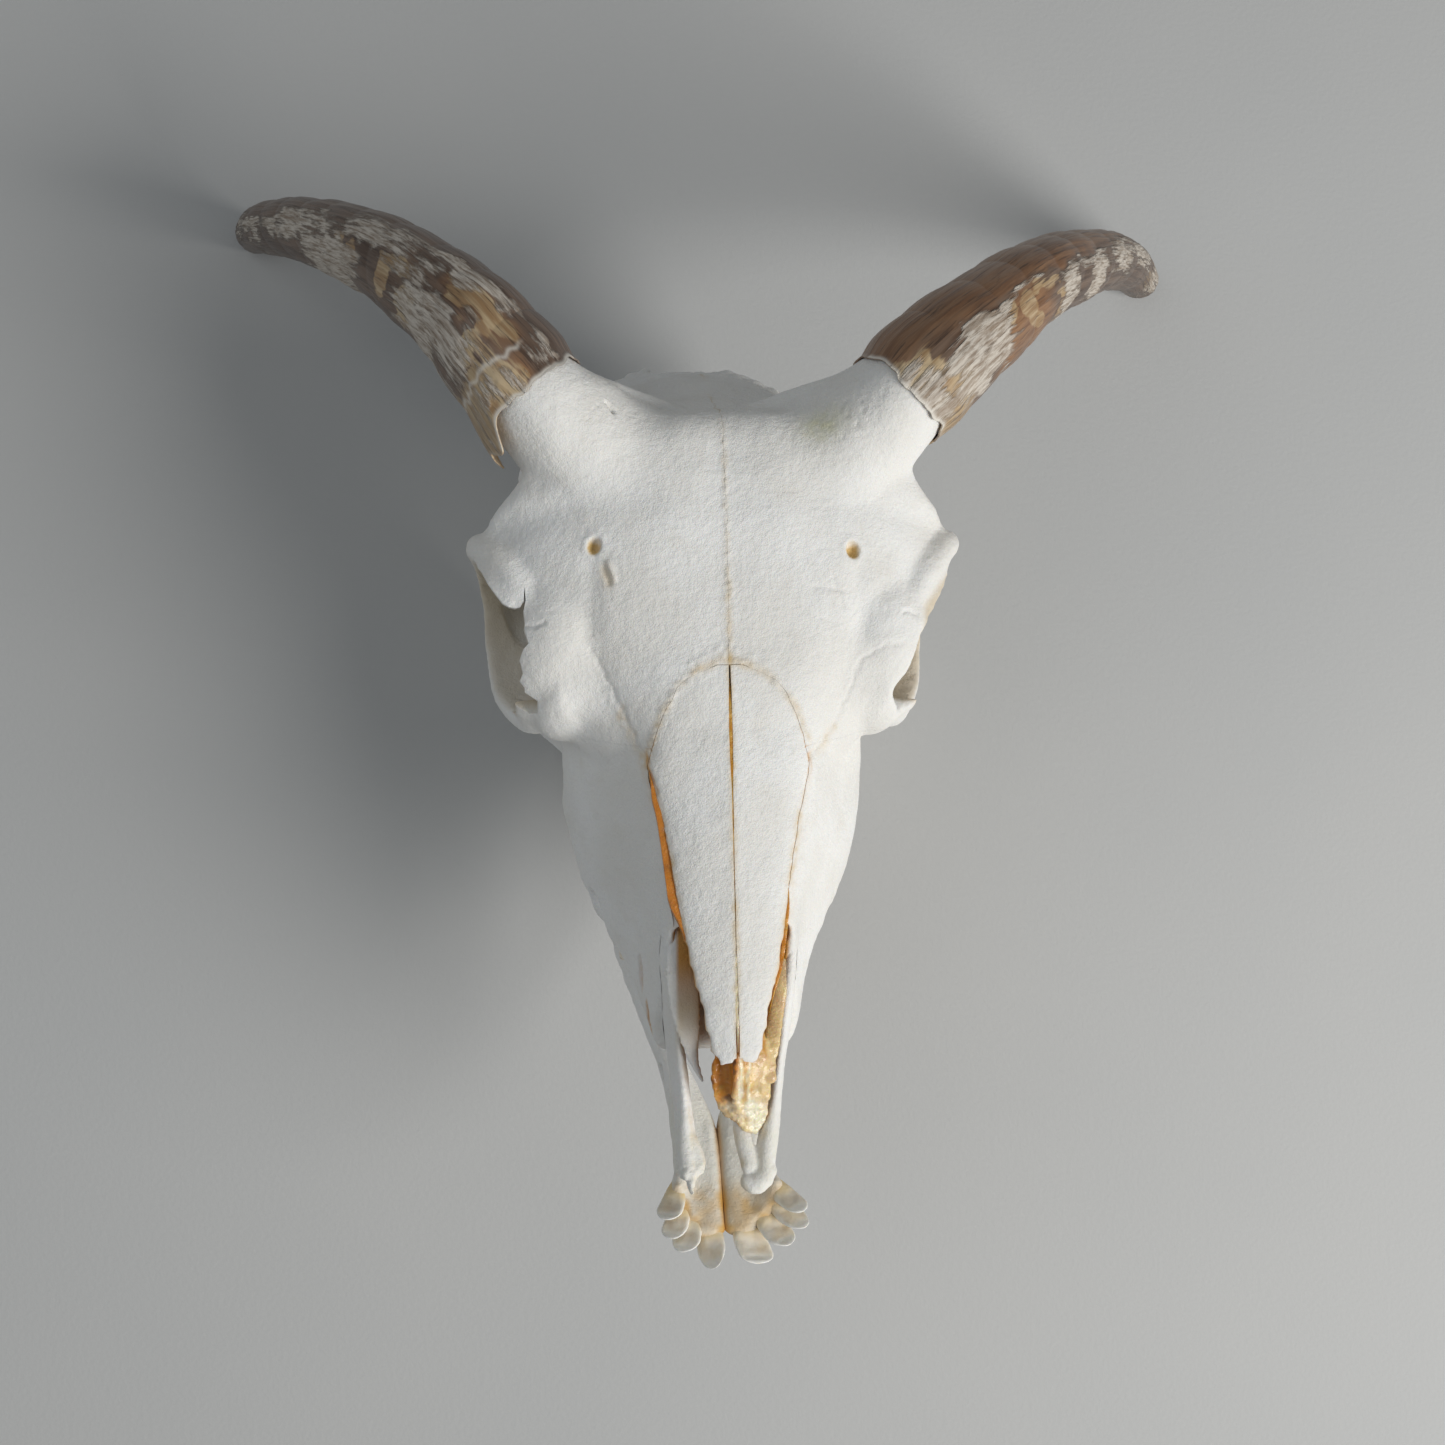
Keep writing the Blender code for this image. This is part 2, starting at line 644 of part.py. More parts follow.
def cheek_tooth(place, crown, root, side):
    """Two-lobed tooth between its sunk root and its worn crown."""
    s, x, length, width = place
    rings = []
    for level, scale in ((root, 0.86), (0.3 * root + 0.7 * crown, 1.0), (crown, 0.88)):
        ring = []
        for k in range(8):
            a = 2 * math.pi * k / 8
            lobe = math.copysign(abs(math.cos(a)) ** 0.6, math.cos(a))
            waist = 1.0 - 0.16 * math.exp(-(math.cos(a) / 0.3) ** 2)
            ring.append((side * (x + scale * waist * width / 2 * math.sin(a)),
                         s + scale * length / 2 * lobe, level))
        rings.append(ring)
    return solid("tooth", rings)


def incisor(root, tip, blade):
    """Front tooth: a narrow neck that widens into a thin blade."""
    middle = [0.45 * a + 0.55 * b for a, b in zip(root, tip)]
    middle[2] -= 1.0
    sizes = [(0.5 * blade, 2.0), (0.8 * blade, 1.9), (blade, 0.9)]
    return tube("incisor", (root, middle, tip), sizes, steps=4, count=8, domes=(False, True))


def build_cranium():
    """All that is above the jaw but the nasals, premaxillae, partition and horns, in one."""
    pieces = [
        lofted("braincase_form", BRAINCASE, braincase_section, 30),
        lofted("shield_form", SHIELD, shield_section, 34, 40),
        lofted("face_form", FACE, face_section, 30, 40),
        egg("occiput", (0, 14, 34), (26, 9, 17), lean=-25),
        egg("brain_dome", (0, 46, 48), (32, 26, 32), lean=-28),
    ]
    paired = [
        hoop("orbit_rim", ORBIT_RIM, ORBIT_RIM_RADIUS),
        egg("orbit_cup", (39, 98, 50), (21, 24, 25), segments=28),
        egg("tear_bone", (38, 116, 50), (9, 8, 14)),
        tube("cheek", [(49, 95, 28), (45, 100.5, 26), (38.5, 106, 24), (31, 113, 22)],
             [(4.5, 5.0), (5.0, 7.5), (6.0, 9.5), (6, 9)]),
        tube("arch", [(51.5, 88, 31), (53, 76, 34), (52, 64, 37.5), (47.5, 53, 42.5), (38, 46, 44.5),
                      (28, 43, 43)],
             [(2.4, 5.6), (2.4, 5.0), (2.4, 4.4), (3.2, 4.0), (5, 4.5), (6, 5)]),
        egg("jaw_socket", (41, 46, 45), (10, 8, 5)),
        egg("condyle", (11.5, 7, 24), (8, 9, 11), lean=20),
        egg("bulla", (20, 30, 9), (7.5, 12, 9)),
        egg("ear_tube", (31, 34, 27), (7, 5, 6)),
        tube("paroccipital", [(25, 15, 32), (26, 12.5, 14), (24, 13, -8)],
             [(7, 5), (5, 3.8), (2.4, 2.4)], up=(0, 1, 0)),
        tube("nuchal_line", [(0, 17, 49), (14, 15, 47), (25, 15, 40), (29, 16, 30)],
             [(2.6, 3), (2.6, 3), (2.6, 3), (2.4, 2.6)]),
        tube("pterygoid", [(11.5, 96, 9), (11, 84, 8), (10.5, 74, 7)], [(1.8, 8), (1.8, 7.5), (1.8, 5.5)]),
        egg("tooth_bed", (24.5, 101, 10), (8.5, 17, 13)),
    ]
    for piece in paired:
        pieces += both(piece)
    pieces += [horn_boss(side) for side in (1, -1)]
    cutters = both(egg("orbit_space", ORBIT_CENTRE, ORBIT_RADII, segments=32))
    cutters += both(egg("temporal_space", (44, 72, 42), (9.5, 22, 21), segments=24))
    cutters += [
        egg("broken_rim", BROKEN_RIM, BROKEN_RIM_RADII, segments=24),
        lofted("nose_space", NOSE_HOLLOW, hollow_section, 24, 32),
        prism("nose_mouth", NOSE_MOUTH, -30, 30),
        tube("great_foramen", [(0, 30, 31), (0, -8, 33)], [(8, 8.5), (9.5, 10)], domes=(False, False)),
        egg("choana", (0, 85, 5), (8.5, 16, 11)),
        egg("palate_vault", (0, 135, -3), (14, 50, 8)),
    ]
    skull = grown_over(carved(fused(pieces), cutters), 6, CRANIUM_TRIANGLES)
    carved(skull, [horn_form(side, NODE_GAP) for side in (1, -1)])
    largest(skull)
    teeth = [cheek_tooth(place, UPPER_CROWN, UPPER_ROOT, side) for place in UPPER_TEETH for side in (1, -1)]
    return fused([skull] + teeth + [horn_core(side, 0.0) for side in (1, -1)])


def suture_knives():
    """Thin cuts at the sutures between the bones of the cranium."""
    meet_s, meet_h = brow_meets_maxilla()
    brow_rear, flat_rear = line_at(BROW_LINE, CORONAL_S), line_at(BROW_LINE, 0.0)
    low, high = -30.0, 120.0
    low_s, high_s = line_back(MAXILLA_LINE, low), line_back(MAXILLA_LINE, high)
    knives = [
        slab("brow_cut", [(-REACH, CORONAL_S, brow_rear), (REACH, CORONAL_S, brow_rear),
                          (REACH, meet_s, meet_h), (-REACH, meet_s, meet_h)]),
        slab("coronal_cut", [(-CORONAL_X, CORONAL_S, brow_rear), (CORONAL_X, CORONAL_S, brow_rear),
                             (CORONAL_X, CORONAL_S, high), (-CORONAL_X, CORONAL_S, high)]),
        slab("maxilla_cut", [(-REACH, low_s, low), (REACH, low_s, low),
                             (REACH, high_s, high), (-REACH, high_s, high)]),
        slab("forehead_midline", [(0, CORONAL_S, brow_rear), (0, CORONAL_S, high),
                                  (0, high_s, high), (0, meet_s, meet_h)]),
        slab("face_midline", [(0, low_s, low), (0, high_s, high), (0, 240, high), (0, 240, low)]),
    ]
    arch_h = line_at(BROW_LINE, ARCH_S)
    for s, top in ((ARCH_S, arch_h), (OCCIPUT_S, high)):
        knives.append(slab("cross_cut", [(-REACH, s, low), (REACH, s, low),
                                         (REACH, s, top), (-REACH, s, top)]))
    for side in (1, -1):
        x = side * CORONAL_X
        out = side * REACH
        knives.append(slab("horn_root_cut", [(x, 0, brow_rear), (x, CORONAL_S, brow_rear),
                                             (x, CORONAL_S, high), (x, 0, high)]))
        knives.append(slab("horn_foot_cut", [(x, 0, flat_rear), (out, 0, flat_rear),
                                             (out, CORONAL_S, brow_rear), (x, CORONAL_S, brow_rear)]))
        x = side * CHEEK_X
        knives.append(slab("cheek_cut", [(x, ARCH_S, low), (x, low_s, low), (x, meet_s, meet_h),
                                         (x, ARCH_S, arch_h)]))
    return knives


def bone_at(middle):
    """Name of the bone that holds a palate-frame place."""
    x, s, h = middle
    hand = "left" if x > 0 else "right"
    if s > line_back(MAXILLA_LINE, h):
        return "maxilla_" + hand
    if s > CORONAL_S and h > line_at(BROW_LINE, s):
        return "frontal_" + hand
    if s > ARCH_S:
        return "zygomatic_" + hand if abs(x) > CHEEK_X else "sphenoid"
    return "braincase" if s > OCCIPUT_S else "occipital"


def part_cranium(skull):
    """Cut the beds and the sutures, and name what comes free by its place."""
    beds = [nasal_bone(1, NODE_GAP, 14.0), nasal_bone(-1, NODE_GAP, 14.0, FISSURE)]
    beds += [premaxilla_rod(side, NODE_GAP) for side in (1, -1)]
    carved(skull, beds)
    carved(skull, suture_knives())
    bones = {}
    for form in shells(skull):
        middle = sum((vert.co for vert in form.verts), Vector()) / len(form.verts) / MM
        name = bone_at((middle.x, -middle.y, middle.z))
        if name in bones:
            form.free()
        else:
            bones[name] = body_from(name, form)
    bpy.data.objects.remove(skull)
    return bones


def mandible(side):
    """Half of the lower jaw with its teeth."""
    pieces = [
        lofted("jaw_body", JAW_BODY, plate_section, 40, 20),
        lofted("jaw_ramus", JAW_RAMUS, plate_section, 16, 20, upright=True),
        tube("coronoid", [(40.4, 66, 24), (41, 64, 42), (41.2, 60, 56), (41, 54.5, 65)],
             [(2.3, 7.5), (2.2, 6.0), (1.9, 4.2), (1.4, 2.2)], up=(0, 1, 0)),
        tube("jaw_neck", [(40.2, 50, 20), (41, 48, 34)], [(2.5, 6.5), (3.4, 4.4)], up=(0, 1, 0)),
        egg("jaw_head", (41.5, 46.5, 36.3), (8.4, 4.4, 3.6)),
    ]
    jaw = grown_over(fused(pieces), 4, JAW_TRIANGLES)
    jaw = jaw if side > 0 else swap_sides(jaw)
    teeth = [cheek_tooth(place, LOWER_CROWN, LOWER_ROOT, side) for place in LOWER_TEETH]
    teeth += [incisor(*place) for place in INCISORS[side]]
    midline = prism("midline_cut", ((190, -60), (250, -60), (250, 10), (190, 10)),
                    side * NODE_GAP / 2, -side * 20)
    return largest(carved(fused([jaw] + teeth), [midline]))


def swap_sides(body):
    """The body moved to the other side of the midline."""
    kept, twin = both(body)
    bpy.data.objects.remove(kept)
    return twin


def stand_on_floor(empty, bodies):
    """Put the middle of the whole skull's box over the origin, with its lowest point on the floor."""
    bpy.context.view_layer.update()
    places = np.array([body.matrix_world @ vert.co for body in bodies for vert in body.data.vertices])
    low, high = places.min(axis=0), places.max(axis=0)
    empty.location = (-(low[0] + high[0]) / 2, -(low[1] + high[1]) / 2, -low[2])


def main():
    for thing in list(bpy.data.objects):
        bpy.data.objects.remove(thing)
    rest = bpy.data.objects.new("skull_rest", None)
    bpy.context.scene.collection.objects.link(rest)
    rest.rotation_euler = (-REST_PITCH, 0.0, 0.0)
    nodes = []
    for name, bone in part_cranium(build_cranium()).items():
        nodes.append(finish(bone, name, BONE, rest))
    for side, hand in ((1, "left"), (-1, "right")):
        nodes.append(finish(nasal_bone(side), "nasal_" + hand, BONE, rest))
        nodes.append(finish(premaxilla(side), "premaxilla_" + hand, BONE, rest))
        nodes.append(finish(mandible(side), "mandible_" + hand, BONE, rest))
        nodes.append(finish(horn_sheath(side), "horn_" + hand, HORN, rest))
    nodes.append(finish(partition(), "nasal_septum", CARTILAGE, rest))
    stand_on_floor(rest, nodes)


main()
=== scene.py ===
import itertools
import math

import bmesh
import bpy
import numpy as np
from mathutils import Matrix, Vector


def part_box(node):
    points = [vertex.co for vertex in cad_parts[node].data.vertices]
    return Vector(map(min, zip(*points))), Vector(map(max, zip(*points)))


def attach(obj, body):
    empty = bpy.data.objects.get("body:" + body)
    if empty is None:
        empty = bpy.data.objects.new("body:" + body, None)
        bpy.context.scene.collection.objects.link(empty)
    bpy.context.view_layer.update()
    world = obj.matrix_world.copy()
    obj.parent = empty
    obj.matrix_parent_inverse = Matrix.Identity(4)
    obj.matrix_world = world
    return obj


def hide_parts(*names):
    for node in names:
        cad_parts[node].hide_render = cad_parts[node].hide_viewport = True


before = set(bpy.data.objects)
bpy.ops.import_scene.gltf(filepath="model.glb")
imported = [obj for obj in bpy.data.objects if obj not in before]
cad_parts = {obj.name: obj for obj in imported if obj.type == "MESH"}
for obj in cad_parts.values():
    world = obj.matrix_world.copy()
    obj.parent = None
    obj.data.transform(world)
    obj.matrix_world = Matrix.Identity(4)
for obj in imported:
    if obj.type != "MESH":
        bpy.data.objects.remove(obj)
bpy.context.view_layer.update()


# How the skull lies. All pieces are drawn in a palate frame, in millimetres: x to the animal's
# left, s forward from the condyles, h up from the palate. The skull is then tipped nose-up, as
# it rests on its jaw angles and horn tips, and the tips of the nasal bones say where it lies.
MM = 0.001
REST_PITCH = math.radians(28.0)
REST_FORWARD = 84.3
REST_LIFT = 13.8
REST_HEIGHT = 13.065
NASAL_TIP = (0.0, 203.4, 27.62)


def local(point):
    """Place of a palate-frame point in the skull's own metres."""
    return Vector((point[0], -point[1], point[2])) * MM


def from_rest(point):
    """Palate-frame place of a point given in the rest pose."""
    forward, height = REST_FORWARD - point[1], point[2] - REST_LIFT
    return (point[0], forward * math.cos(REST_PITCH) + height * math.sin(REST_PITCH),
            height * math.cos(REST_PITCH) - forward * math.sin(REST_PITCH))


rest_up = np.array((0.0, math.sin(REST_PITCH), math.cos(REST_PITCH)))
rest_front = np.array((0.0, math.cos(REST_PITCH), -math.sin(REST_PITCH)))
tipped = Matrix.Rotation(-REST_PITCH, 4, "X")
left_low, right_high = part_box("nasal_left")[0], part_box("nasal_right")[1]
sole = min(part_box(node)[0].z
           for node in ("mandible_left", "mandible_right", "horn_left", "horn_right"))
at_rest = Matrix.Translation(((left_low.x + right_high.x) / 2,
                              left_low.y - (tipped @ local(NASAL_TIP)).y,
                              sole + REST_HEIGHT * MM)) @ tipped


# The cranium: braincase, forehead, face and cheekbones, grown as one form and then parted at
# the sutures. Forms are laid over each other as lofts, bars, hoops and eggs, hollowed for the
# orbits and the nose, drawn over with one skin, and worked over in fine relief.
CRANIUM_GRAIN = 1.1

# Braincase: s, crown, roof half-width, side half-width, side h, base half-width, base h.
BRAINCASE = (
    (7, 41, 12, 23, 32, 13, 22),
    (15, 48, 16, 28, 35, 15, 14),
    (28, 63, 18, 31, 41, 17, 12),
    (42, 77, 20, 32, 45, 17, 11),
    (54, 87, 24, 31, 47, 16, 11),
    (70, 86, 27, 27, 50, 15, 11),
    (85, 80, 28, 24, 45, 14, 11),
    (100, 74, 26, 23, 40, 13, 10),
)
# Forehead shield: s, crown, half-width, fall to the edge, edge thickness.
SHIELD = (
    (51, 83, 36, 2, 9),
    (56, 90, 42, 3, 12),
    (61, 94.6, 44, 6, 12),
    (67, 95.6, 46, 8, 12),
    (73, 94, 50.5, 13, 8),
    (77, 92.8, 56, 18, 7),
    (80.5, 91.2, 58, 23, 6.5),
    (87, 88.5, 55, 19, 6),
    (95, 84.5, 50, 15, 5.5),
    (104, 80, 47, 16, 5.5),
    (113, 75.3, 44.5, 21, 6.5),
    (121, 71.5, 38, 22, 9),
    (130, 66.8, 30, 20, 9),
)
# Face: s, crown, roof half-width, cheek half-width, cheek h, gum half-width, gum h, palate h.
FACE = (
    (90, 62, 20, 25, 34, 23, 6, 10),
    (104, 76, 24, 36, 30, 28, 3, 8),
    (118, 71, 22, 38.6, 28, 30, 0, 6),
    (132, 65, 19.5, 37.4, 22, 31, -1, 5),
    (145, 59, 17.5, 34.8, 16, 30, -1, 5),
    (158, 52.5, 15.5, 28.4, 13, 25.2, -1, 4),
    (170, 46.7, 13.5, 23.0, 10, 19.2, -1, 3),
    (181, 41.5, 12, 20, 8, 15.5, 0, 2),
    (190, 37, 10.8, 17.5, 7, 13.5, 0.5, 1),
)
# Hollow of the nose: s, roof, half-width at the roof, half-width at the floor, floor.
NOSE_HOLLOW = (
    (128, 58, 8, 6, 26),
    (138, 62, 15.5, 9, 16),
    (158, 58, 14, 12, 10),
    (176, 54, 13.2, 11.5, 8),
    (202, 52, 14, 9.5, 6.5),
)
# Side view, as (s, h), of the open front of the nose, above the premaxillae.
NOSE_MOUTH = ((171, 60), (173, 38), (179, 28), (184, 18), (187, 9), (191, 4), (210, 4), (210, 60))
# Rim of the left orbit, as (x, s, h), round from the process behind the eye.
ORBIT_RIM = (
    (58.6, 80.5, 66.0), (54.4, 87.0, 70.5), (48.4, 96.0, 70.0), (43.6, 107.0, 63.6),
    (42.4, 114.5, 51.0), (45.8, 113.0, 37.0), (51.6, 102.5, 30.0), (53.4, 90.0, 31.5),
    (54.4, 80.5, 42.0), (56.5, 77.8, 55.0),
)
ORBIT_RIM_RADIUS = 3.9
ORBIT_CENTRE = (52.0, 97.5, 50.5)
ORBIT_RADII = (27.0, 17.8, 18.8)
# Angles, in degrees, at which a bar's domed end has its rings.
DOME_RINGS = (12, 26, 42, 58, 74)


def follow(keys, rows, at):
    """Rows read off a smooth curve through the given ones."""
    keys, rows, at = np.asarray(keys, float), np.asarray(rows, float), np.asarray(at, float)
    slopes = np.gradient(rows, keys, axis=0)
    i = np.clip(np.searchsorted(keys, at) - 1, 0, len(keys) - 2)
    span = keys[i + 1] - keys[i]
    t = (at - keys[i]) / span
    if rows.ndim > 1:
        span, t = span[:, None], t[:, None]
    return ((2 * t**3 - 3 * t**2 + 1) * rows[i] + (t**3 - 2 * t**2 + t) * span * slopes[i]
            + (3 * t**2 - 2 * t**3) * rows[i + 1] + (t**3 - t**2) * span * slopes[i + 1])


def read_off(table, at):
    """The table's other columns, read off a smooth curve at places along its first one."""
    table = np.asarray(table, float)
    others = table[:, 1] if table.shape[1] == 2 else table[:, 1:]
    return follow(table[:, 0], others, at)


def turns(count):
    """So many angles, all the way round."""
    return np.arange(count) * 2 * math.pi / count


def unit(ways):
    """The directions, each made one long."""
    return ways / np.linalg.norm(ways, axis=1)[:, None]


def outline(points, count):
    """Closed smooth outline through the points, as so many places."""
    points = np.asarray(points, float)
    steps = np.arange(count) * len(points) / count
    i = steps.astype(int)
    t = (steps - i)[:, None]
    before, here, ahead, after = (points[(i + k) % len(points)] for k in (-1, 0, 1, 2))
    return 0.5 * (2 * here + (ahead - before) * t
                  + (2 * before - 5 * here + 4 * ahead - after) * t**2
                  + (3 * here - before - 3 * ahead + after) * t**3)


def mirrored_outline(half):
    """Whole outline from its left half, whose first and last points lie on the midline."""
    return list(half) + [(-x, h) for x, h in half[-2:0:-1]]


def body_from(name, form):
    """Object made from a bmesh, with its faces turned outwards."""
    bmesh.ops.recalc_face_normals(form, faces=form.faces)
    mesh = bpy.data.meshes.new(name)
    form.to_mesh(mesh)
    form.free()
    body = bpy.data.objects.new(name, mesh)
    bpy.context.scene.collection.objects.link(body)
    return body


def meshed(name, places, faces):
    """Object from palate-frame places and faces."""
    mesh = bpy.data.meshes.new(name)
    mesh.from_pydata((np.asarray(places, float) * (MM, -MM, MM)).tolist(), [], faces)
    form = bmesh.new()
    form.from_mesh(mesh)
    return body_from(name, form)


def solid(name, rows, closed=False):
    """Body through rows of palate-frame points: end to end, or round in a hoop."""
    rows = np.asarray(rows, float)
    index = np.arange(rows.shape[0] * rows.shape[1]).reshape(rows.shape[:2])
    near, far = (index, np.roll(index, -1, axis=0)) if closed else (index[:-1], index[1:])
    ring = np.stack([near, np.roll(near, -1, axis=1), np.roll(far, -1, axis=1), far], axis=-1)
    faces = ring.reshape(-1, 4).tolist()
    places = rows.reshape(-1, 3)
    if not closed:
        for end in (0, -1):
            places = np.vstack([places, rows[end].mean(axis=0)])
            faces += [[a, b, len(places) - 1] for a, b in zip(index[end], np.roll(index[end], -1))]
    return meshed(name, places, faces)


def lofted(name, rows, section, steps, count=32, upright=False):
    """Body whose sections follow the rows along s, or along h where it stands upright."""
    stations = np.linspace(rows[0][0], rows[-1][0], steps)
    rings = []
    for key, row in zip(stations, read_off(rows, stations)):
        ring = outline(section(row), count)
        rings.append([(x, v, key) if upright else (x, key, v) for x, v in ring])
    return solid(name, rings)


def bar_rows(axis, sizes, steps, count, up=(0.0, 0.0, 1.0), domes=(True, True)):
    """Elliptical rings along a smooth axis, closing in over a dome where an end has one."""
    keys = np.arange(len(axis))
    at = np.linspace(0, len(axis) - 1, steps)
    middles, halves = follow(keys, axis, at), follow(keys, sizes, at)
    ways = unit(np.gradient(middles, axis=0))
    sides = unit(np.cross(ways, up))
    tops = np.cross(sides, ways)
    dome = [(math.sin(math.radians(a)), math.cos(math.radians(a))) for a in DOME_RINGS]
    rows = [(0, -min(halves[0]) * out, scale) for scale, out in dome] if domes[0] else []
    rows += [(k, 0.0, 1.0) for k in range(steps)]
    if domes[1]:
        rows += [(steps - 1, min(halves[-1]) * out, scale) for scale, out in dome[::-1]]
    pick = [k for k, _, _ in rows]
    shift, scale = np.array([row[1:] for row in rows]).T
    across = (halves[pick, 0] * scale)[:, None] * np.cos(turns(count))
    deep = (halves[pick, 1] * scale)[:, None] * np.sin(turns(count))
    centres = middles[pick] + ways[pick] * shift[:, None]
    return (centres[:, None] + across[:, :, None] * sides[pick][:, None]
            + deep[:, :, None] * tops[pick][:, None])


def tube(name, axis, sizes, steps=18, count=20, up=(0.0, 0.0, 1.0), domes=(True, True)):
    """Elliptical bar along a smooth axis."""
    return solid(name, bar_rows(axis, sizes, steps, count, up, domes))


def hoop(name, axis, radius, steps=64, count=16):
    """Closed ring of round section through the points."""
    middles = outline(axis, steps)
    ways = unit(np.roll(middles, -1, axis=0) - np.roll(middles, 1, axis=0))
    out = middles - middles.mean(axis=0)
    out = unit(out - ways * (out * ways).sum(axis=1)[:, None])
    side = np.cross(ways, out)
    angles = turns(count)[None, :, None]
    spokes = np.cos(angles) * out[:, None] + np.sin(angles) * side[:, None]
    return solid(name, middles[:, None] + radius * spokes, closed=True)


def egg(name, centre, radii, lean=0.0, segments=32):
    """Ellipsoid, tipped nose-up by lean degrees."""
    form = bmesh.new()
    bmesh.ops.create_uvsphere(form, u_segments=segments, v_segments=segments // 2, radius=1.0)
    place = (Matrix.Translation(local(centre)) @ Matrix.Rotation(math.radians(-lean), 4, "X")
             @ Matrix.Diagonal((*(Vector(radii) * MM), 1.0)))
    bmesh.ops.transform(form, matrix=place, verts=form.verts)
    return body_from(name, form)


def prism(name, near, far):
    """Body between two like outlines of palate-frame points."""
    count = len(near)
    faces = [[k, (k + 1) % count, count + (k + 1) % count, count + k] for k in range(count)]
    faces += [list(range(count)), list(range(count, 2 * count))]
    return meshed(name, list(near) + list(far), faces)


def both(body):
    """A piece and its twin on the other side of the midline."""
    form = bmesh.new()
    form.from_mesh(body.data)
    bmesh.ops.scale(form, vec=(-1.0, 1.0, 1.0), verts=form.verts)
    return [body, body_from(body.name + "_twin", form)]


def settle(body):
    """Keep the body as its modifiers leave it."""
    graph = bpy.context.evaluated_depsgraph_get()
    mesh = bpy.data.meshes.new_from_object(body.evaluated_get(graph))
    body.modifiers.clear()
    body.data = mesh


def boolean(body, others, operation):
    """Join the others to the body, or cut them from it, and remove them."""
    group = bpy.data.collections.new("group")
    bpy.context.scene.collection.children.link(group)
    for other in others:
        group.objects.link(other)
    change = body.modifiers.new("boolean", "BOOLEAN")
    change.operation = operation
    change.operand_type = "COLLECTION"
    change.collection = group
    change.solver = "MANIFOLD"
    settle(body)
    for other in others:
        bpy.data.objects.remove(other)
    bpy.data.collections.remove(group)
    return body


def fused(pieces):
    return boolean(pieces[0], pieces[1:], "UNION")


def carved(body, cutters):
    return boolean(body, cutters, "DIFFERENCE")


def freed(body):
    """The body's closed surfaces as objects of their own, largest first."""
    bpy.ops.object.select_all(action="DESELECT")
    body.select_set(True)
    bpy.context.view_layer.objects.active = body
    bpy.ops.mesh.separate(type="LOOSE")
    found = list(bpy.context.selected_objects)
    return sorted(found, key=lambda part: len(part.data.vertices), reverse=True)


def largest(body):
    """Keep only the largest closed surface."""
    found = freed(body)
    for scrap in found[1:]:
        bpy.data.objects.remove(scrap)
    return found[0]


def soften(body, rounds, group=""):
    """Smooth the body over so many rounds, all over or as its group says."""
    change = body.modifiers.new("soften", "SMOOTH")
    change.factor = 0.5
    change.iterations = rounds
    change.vertex_group = group


def grown_over(body, voxel, rounds, levels=0, soft=()):
    """Draw one smooth skin over the fused pieces, softer where asked, and split it finer."""
    skin = body.modifiers.new("skin", "REMESH")
    skin.mode = "VOXEL"
    skin.voxel_size = voxel * MM
    soften(body, rounds)
    settle(body)
    body = largest(body)
    for weigh, more in soft:
        share = weigh(*places_of(body.data)[0].T)
        group = body.vertex_groups.new(name="soft")
        for level in range(1, 11):
            chosen = np.flatnonzero((share * 10).round() == level).tolist()
            group.add(chosen, level / 10, "REPLACE")
        soften(body, more, "soft")
        settle(body)
        body.vertex_groups.clear()
    if levels:
        finer = body.modifiers.new("finer", "SUBSURF")
        finer.levels = levels
        settle(body)
    return body


def numbers(values, field):
    """The field's three numbers for each of the values, in one row."""
    block = np.empty(len(values) * 3, np.float32)
    values.foreach_get(field, block)
    return block


def places_of(mesh):
    """Palate-frame places of the vertices and their outward directions."""
    places = numbers(mesh.vertices, "co").reshape(-1, 3).astype(float)
    ways = numbers(mesh.vertex_normals, "vector").reshape(-1, 3).astype(float)
    return places * (1.0, -1.0, 1.0) / MM, ways * (1.0, -1.0, 1.0)


def put_places(mesh, places):
    """Move the vertices to palate-frame places."""
    turned = places * (1.0, -1.0, 1.0) * MM
    mesh.vertices.foreach_set("co", turned.astype(np.float32).ravel())
    mesh.update()


def lumps(places, size, seed=0):
    """Smooth random value from -1 to 1 at each place, in lumps of about the size."""
    scaled = np.asarray(places, float) / size + 31.7 * seed
    corner = np.floor(scaled)
    part = scaled - corner
    corner = corner.astype(np.int64)
    fade = part**3 * (part * (part * 6 - 15) + 10)
    total = np.zeros(len(scaled))
    for step in itertools.product((0, 1), repeat=3):
        cell = corner + np.array(step)
        key = cell[:, 0] * 374761393 + cell[:, 1] * 668265263 + cell[:, 2] * 1440662683
        key = (key ^ (key >> 13)) * 1274126177
        value = ((key ^ (key >> 16)) & 0xFFFF) / 32767.5 - 1.0
        weight = np.ones(len(scaled))
        for k in range(3):
            weight *= fade[:, k] if step[k] else 1 - fade[:, k]
        total += value * weight
    return total


def lumpy(places, *layers):
    """Lumps laid over one another, each with its height, size and seed."""
    return sum(height * lumps(places, size, seed) for height, size, seed in layers)


def ramp(values, low, high):
    """Smooth step from 0 at the low value to 1 at the high one."""
    t = np.clip((values - low) / (high - low), 0, 1)
    return t * t * (3 - 2 * t)


def off_path(across, along, path):
    """Distance from each place to a line of points, in the plane of the two values given."""
    near = np.full(len(across), 1e9)
    for (a0, b0), (a1, b1) in zip(path, path[1:]):
        u, v = a1 - a0, b1 - b0
        t = np.clip(((across - a0) * u + (along - b0) * v) / (u * u + v * v), 0, 1)
        near = np.minimum(near, np.hypot(across - a0 - t * u, along - b0 - t * v))
    return near


def bump_of(distance, width):
    """Bell-shaped bump that is 1 where the distance is 0."""
    return np.exp(-(distance / width) ** 2)


def off_middle(*axes):
    """Distance in half-sizes, from the values, the middle and the half-size along each axis."""
    return np.sqrt(sum(((values - middle) / half) ** 2 for values, middle, half in axes))


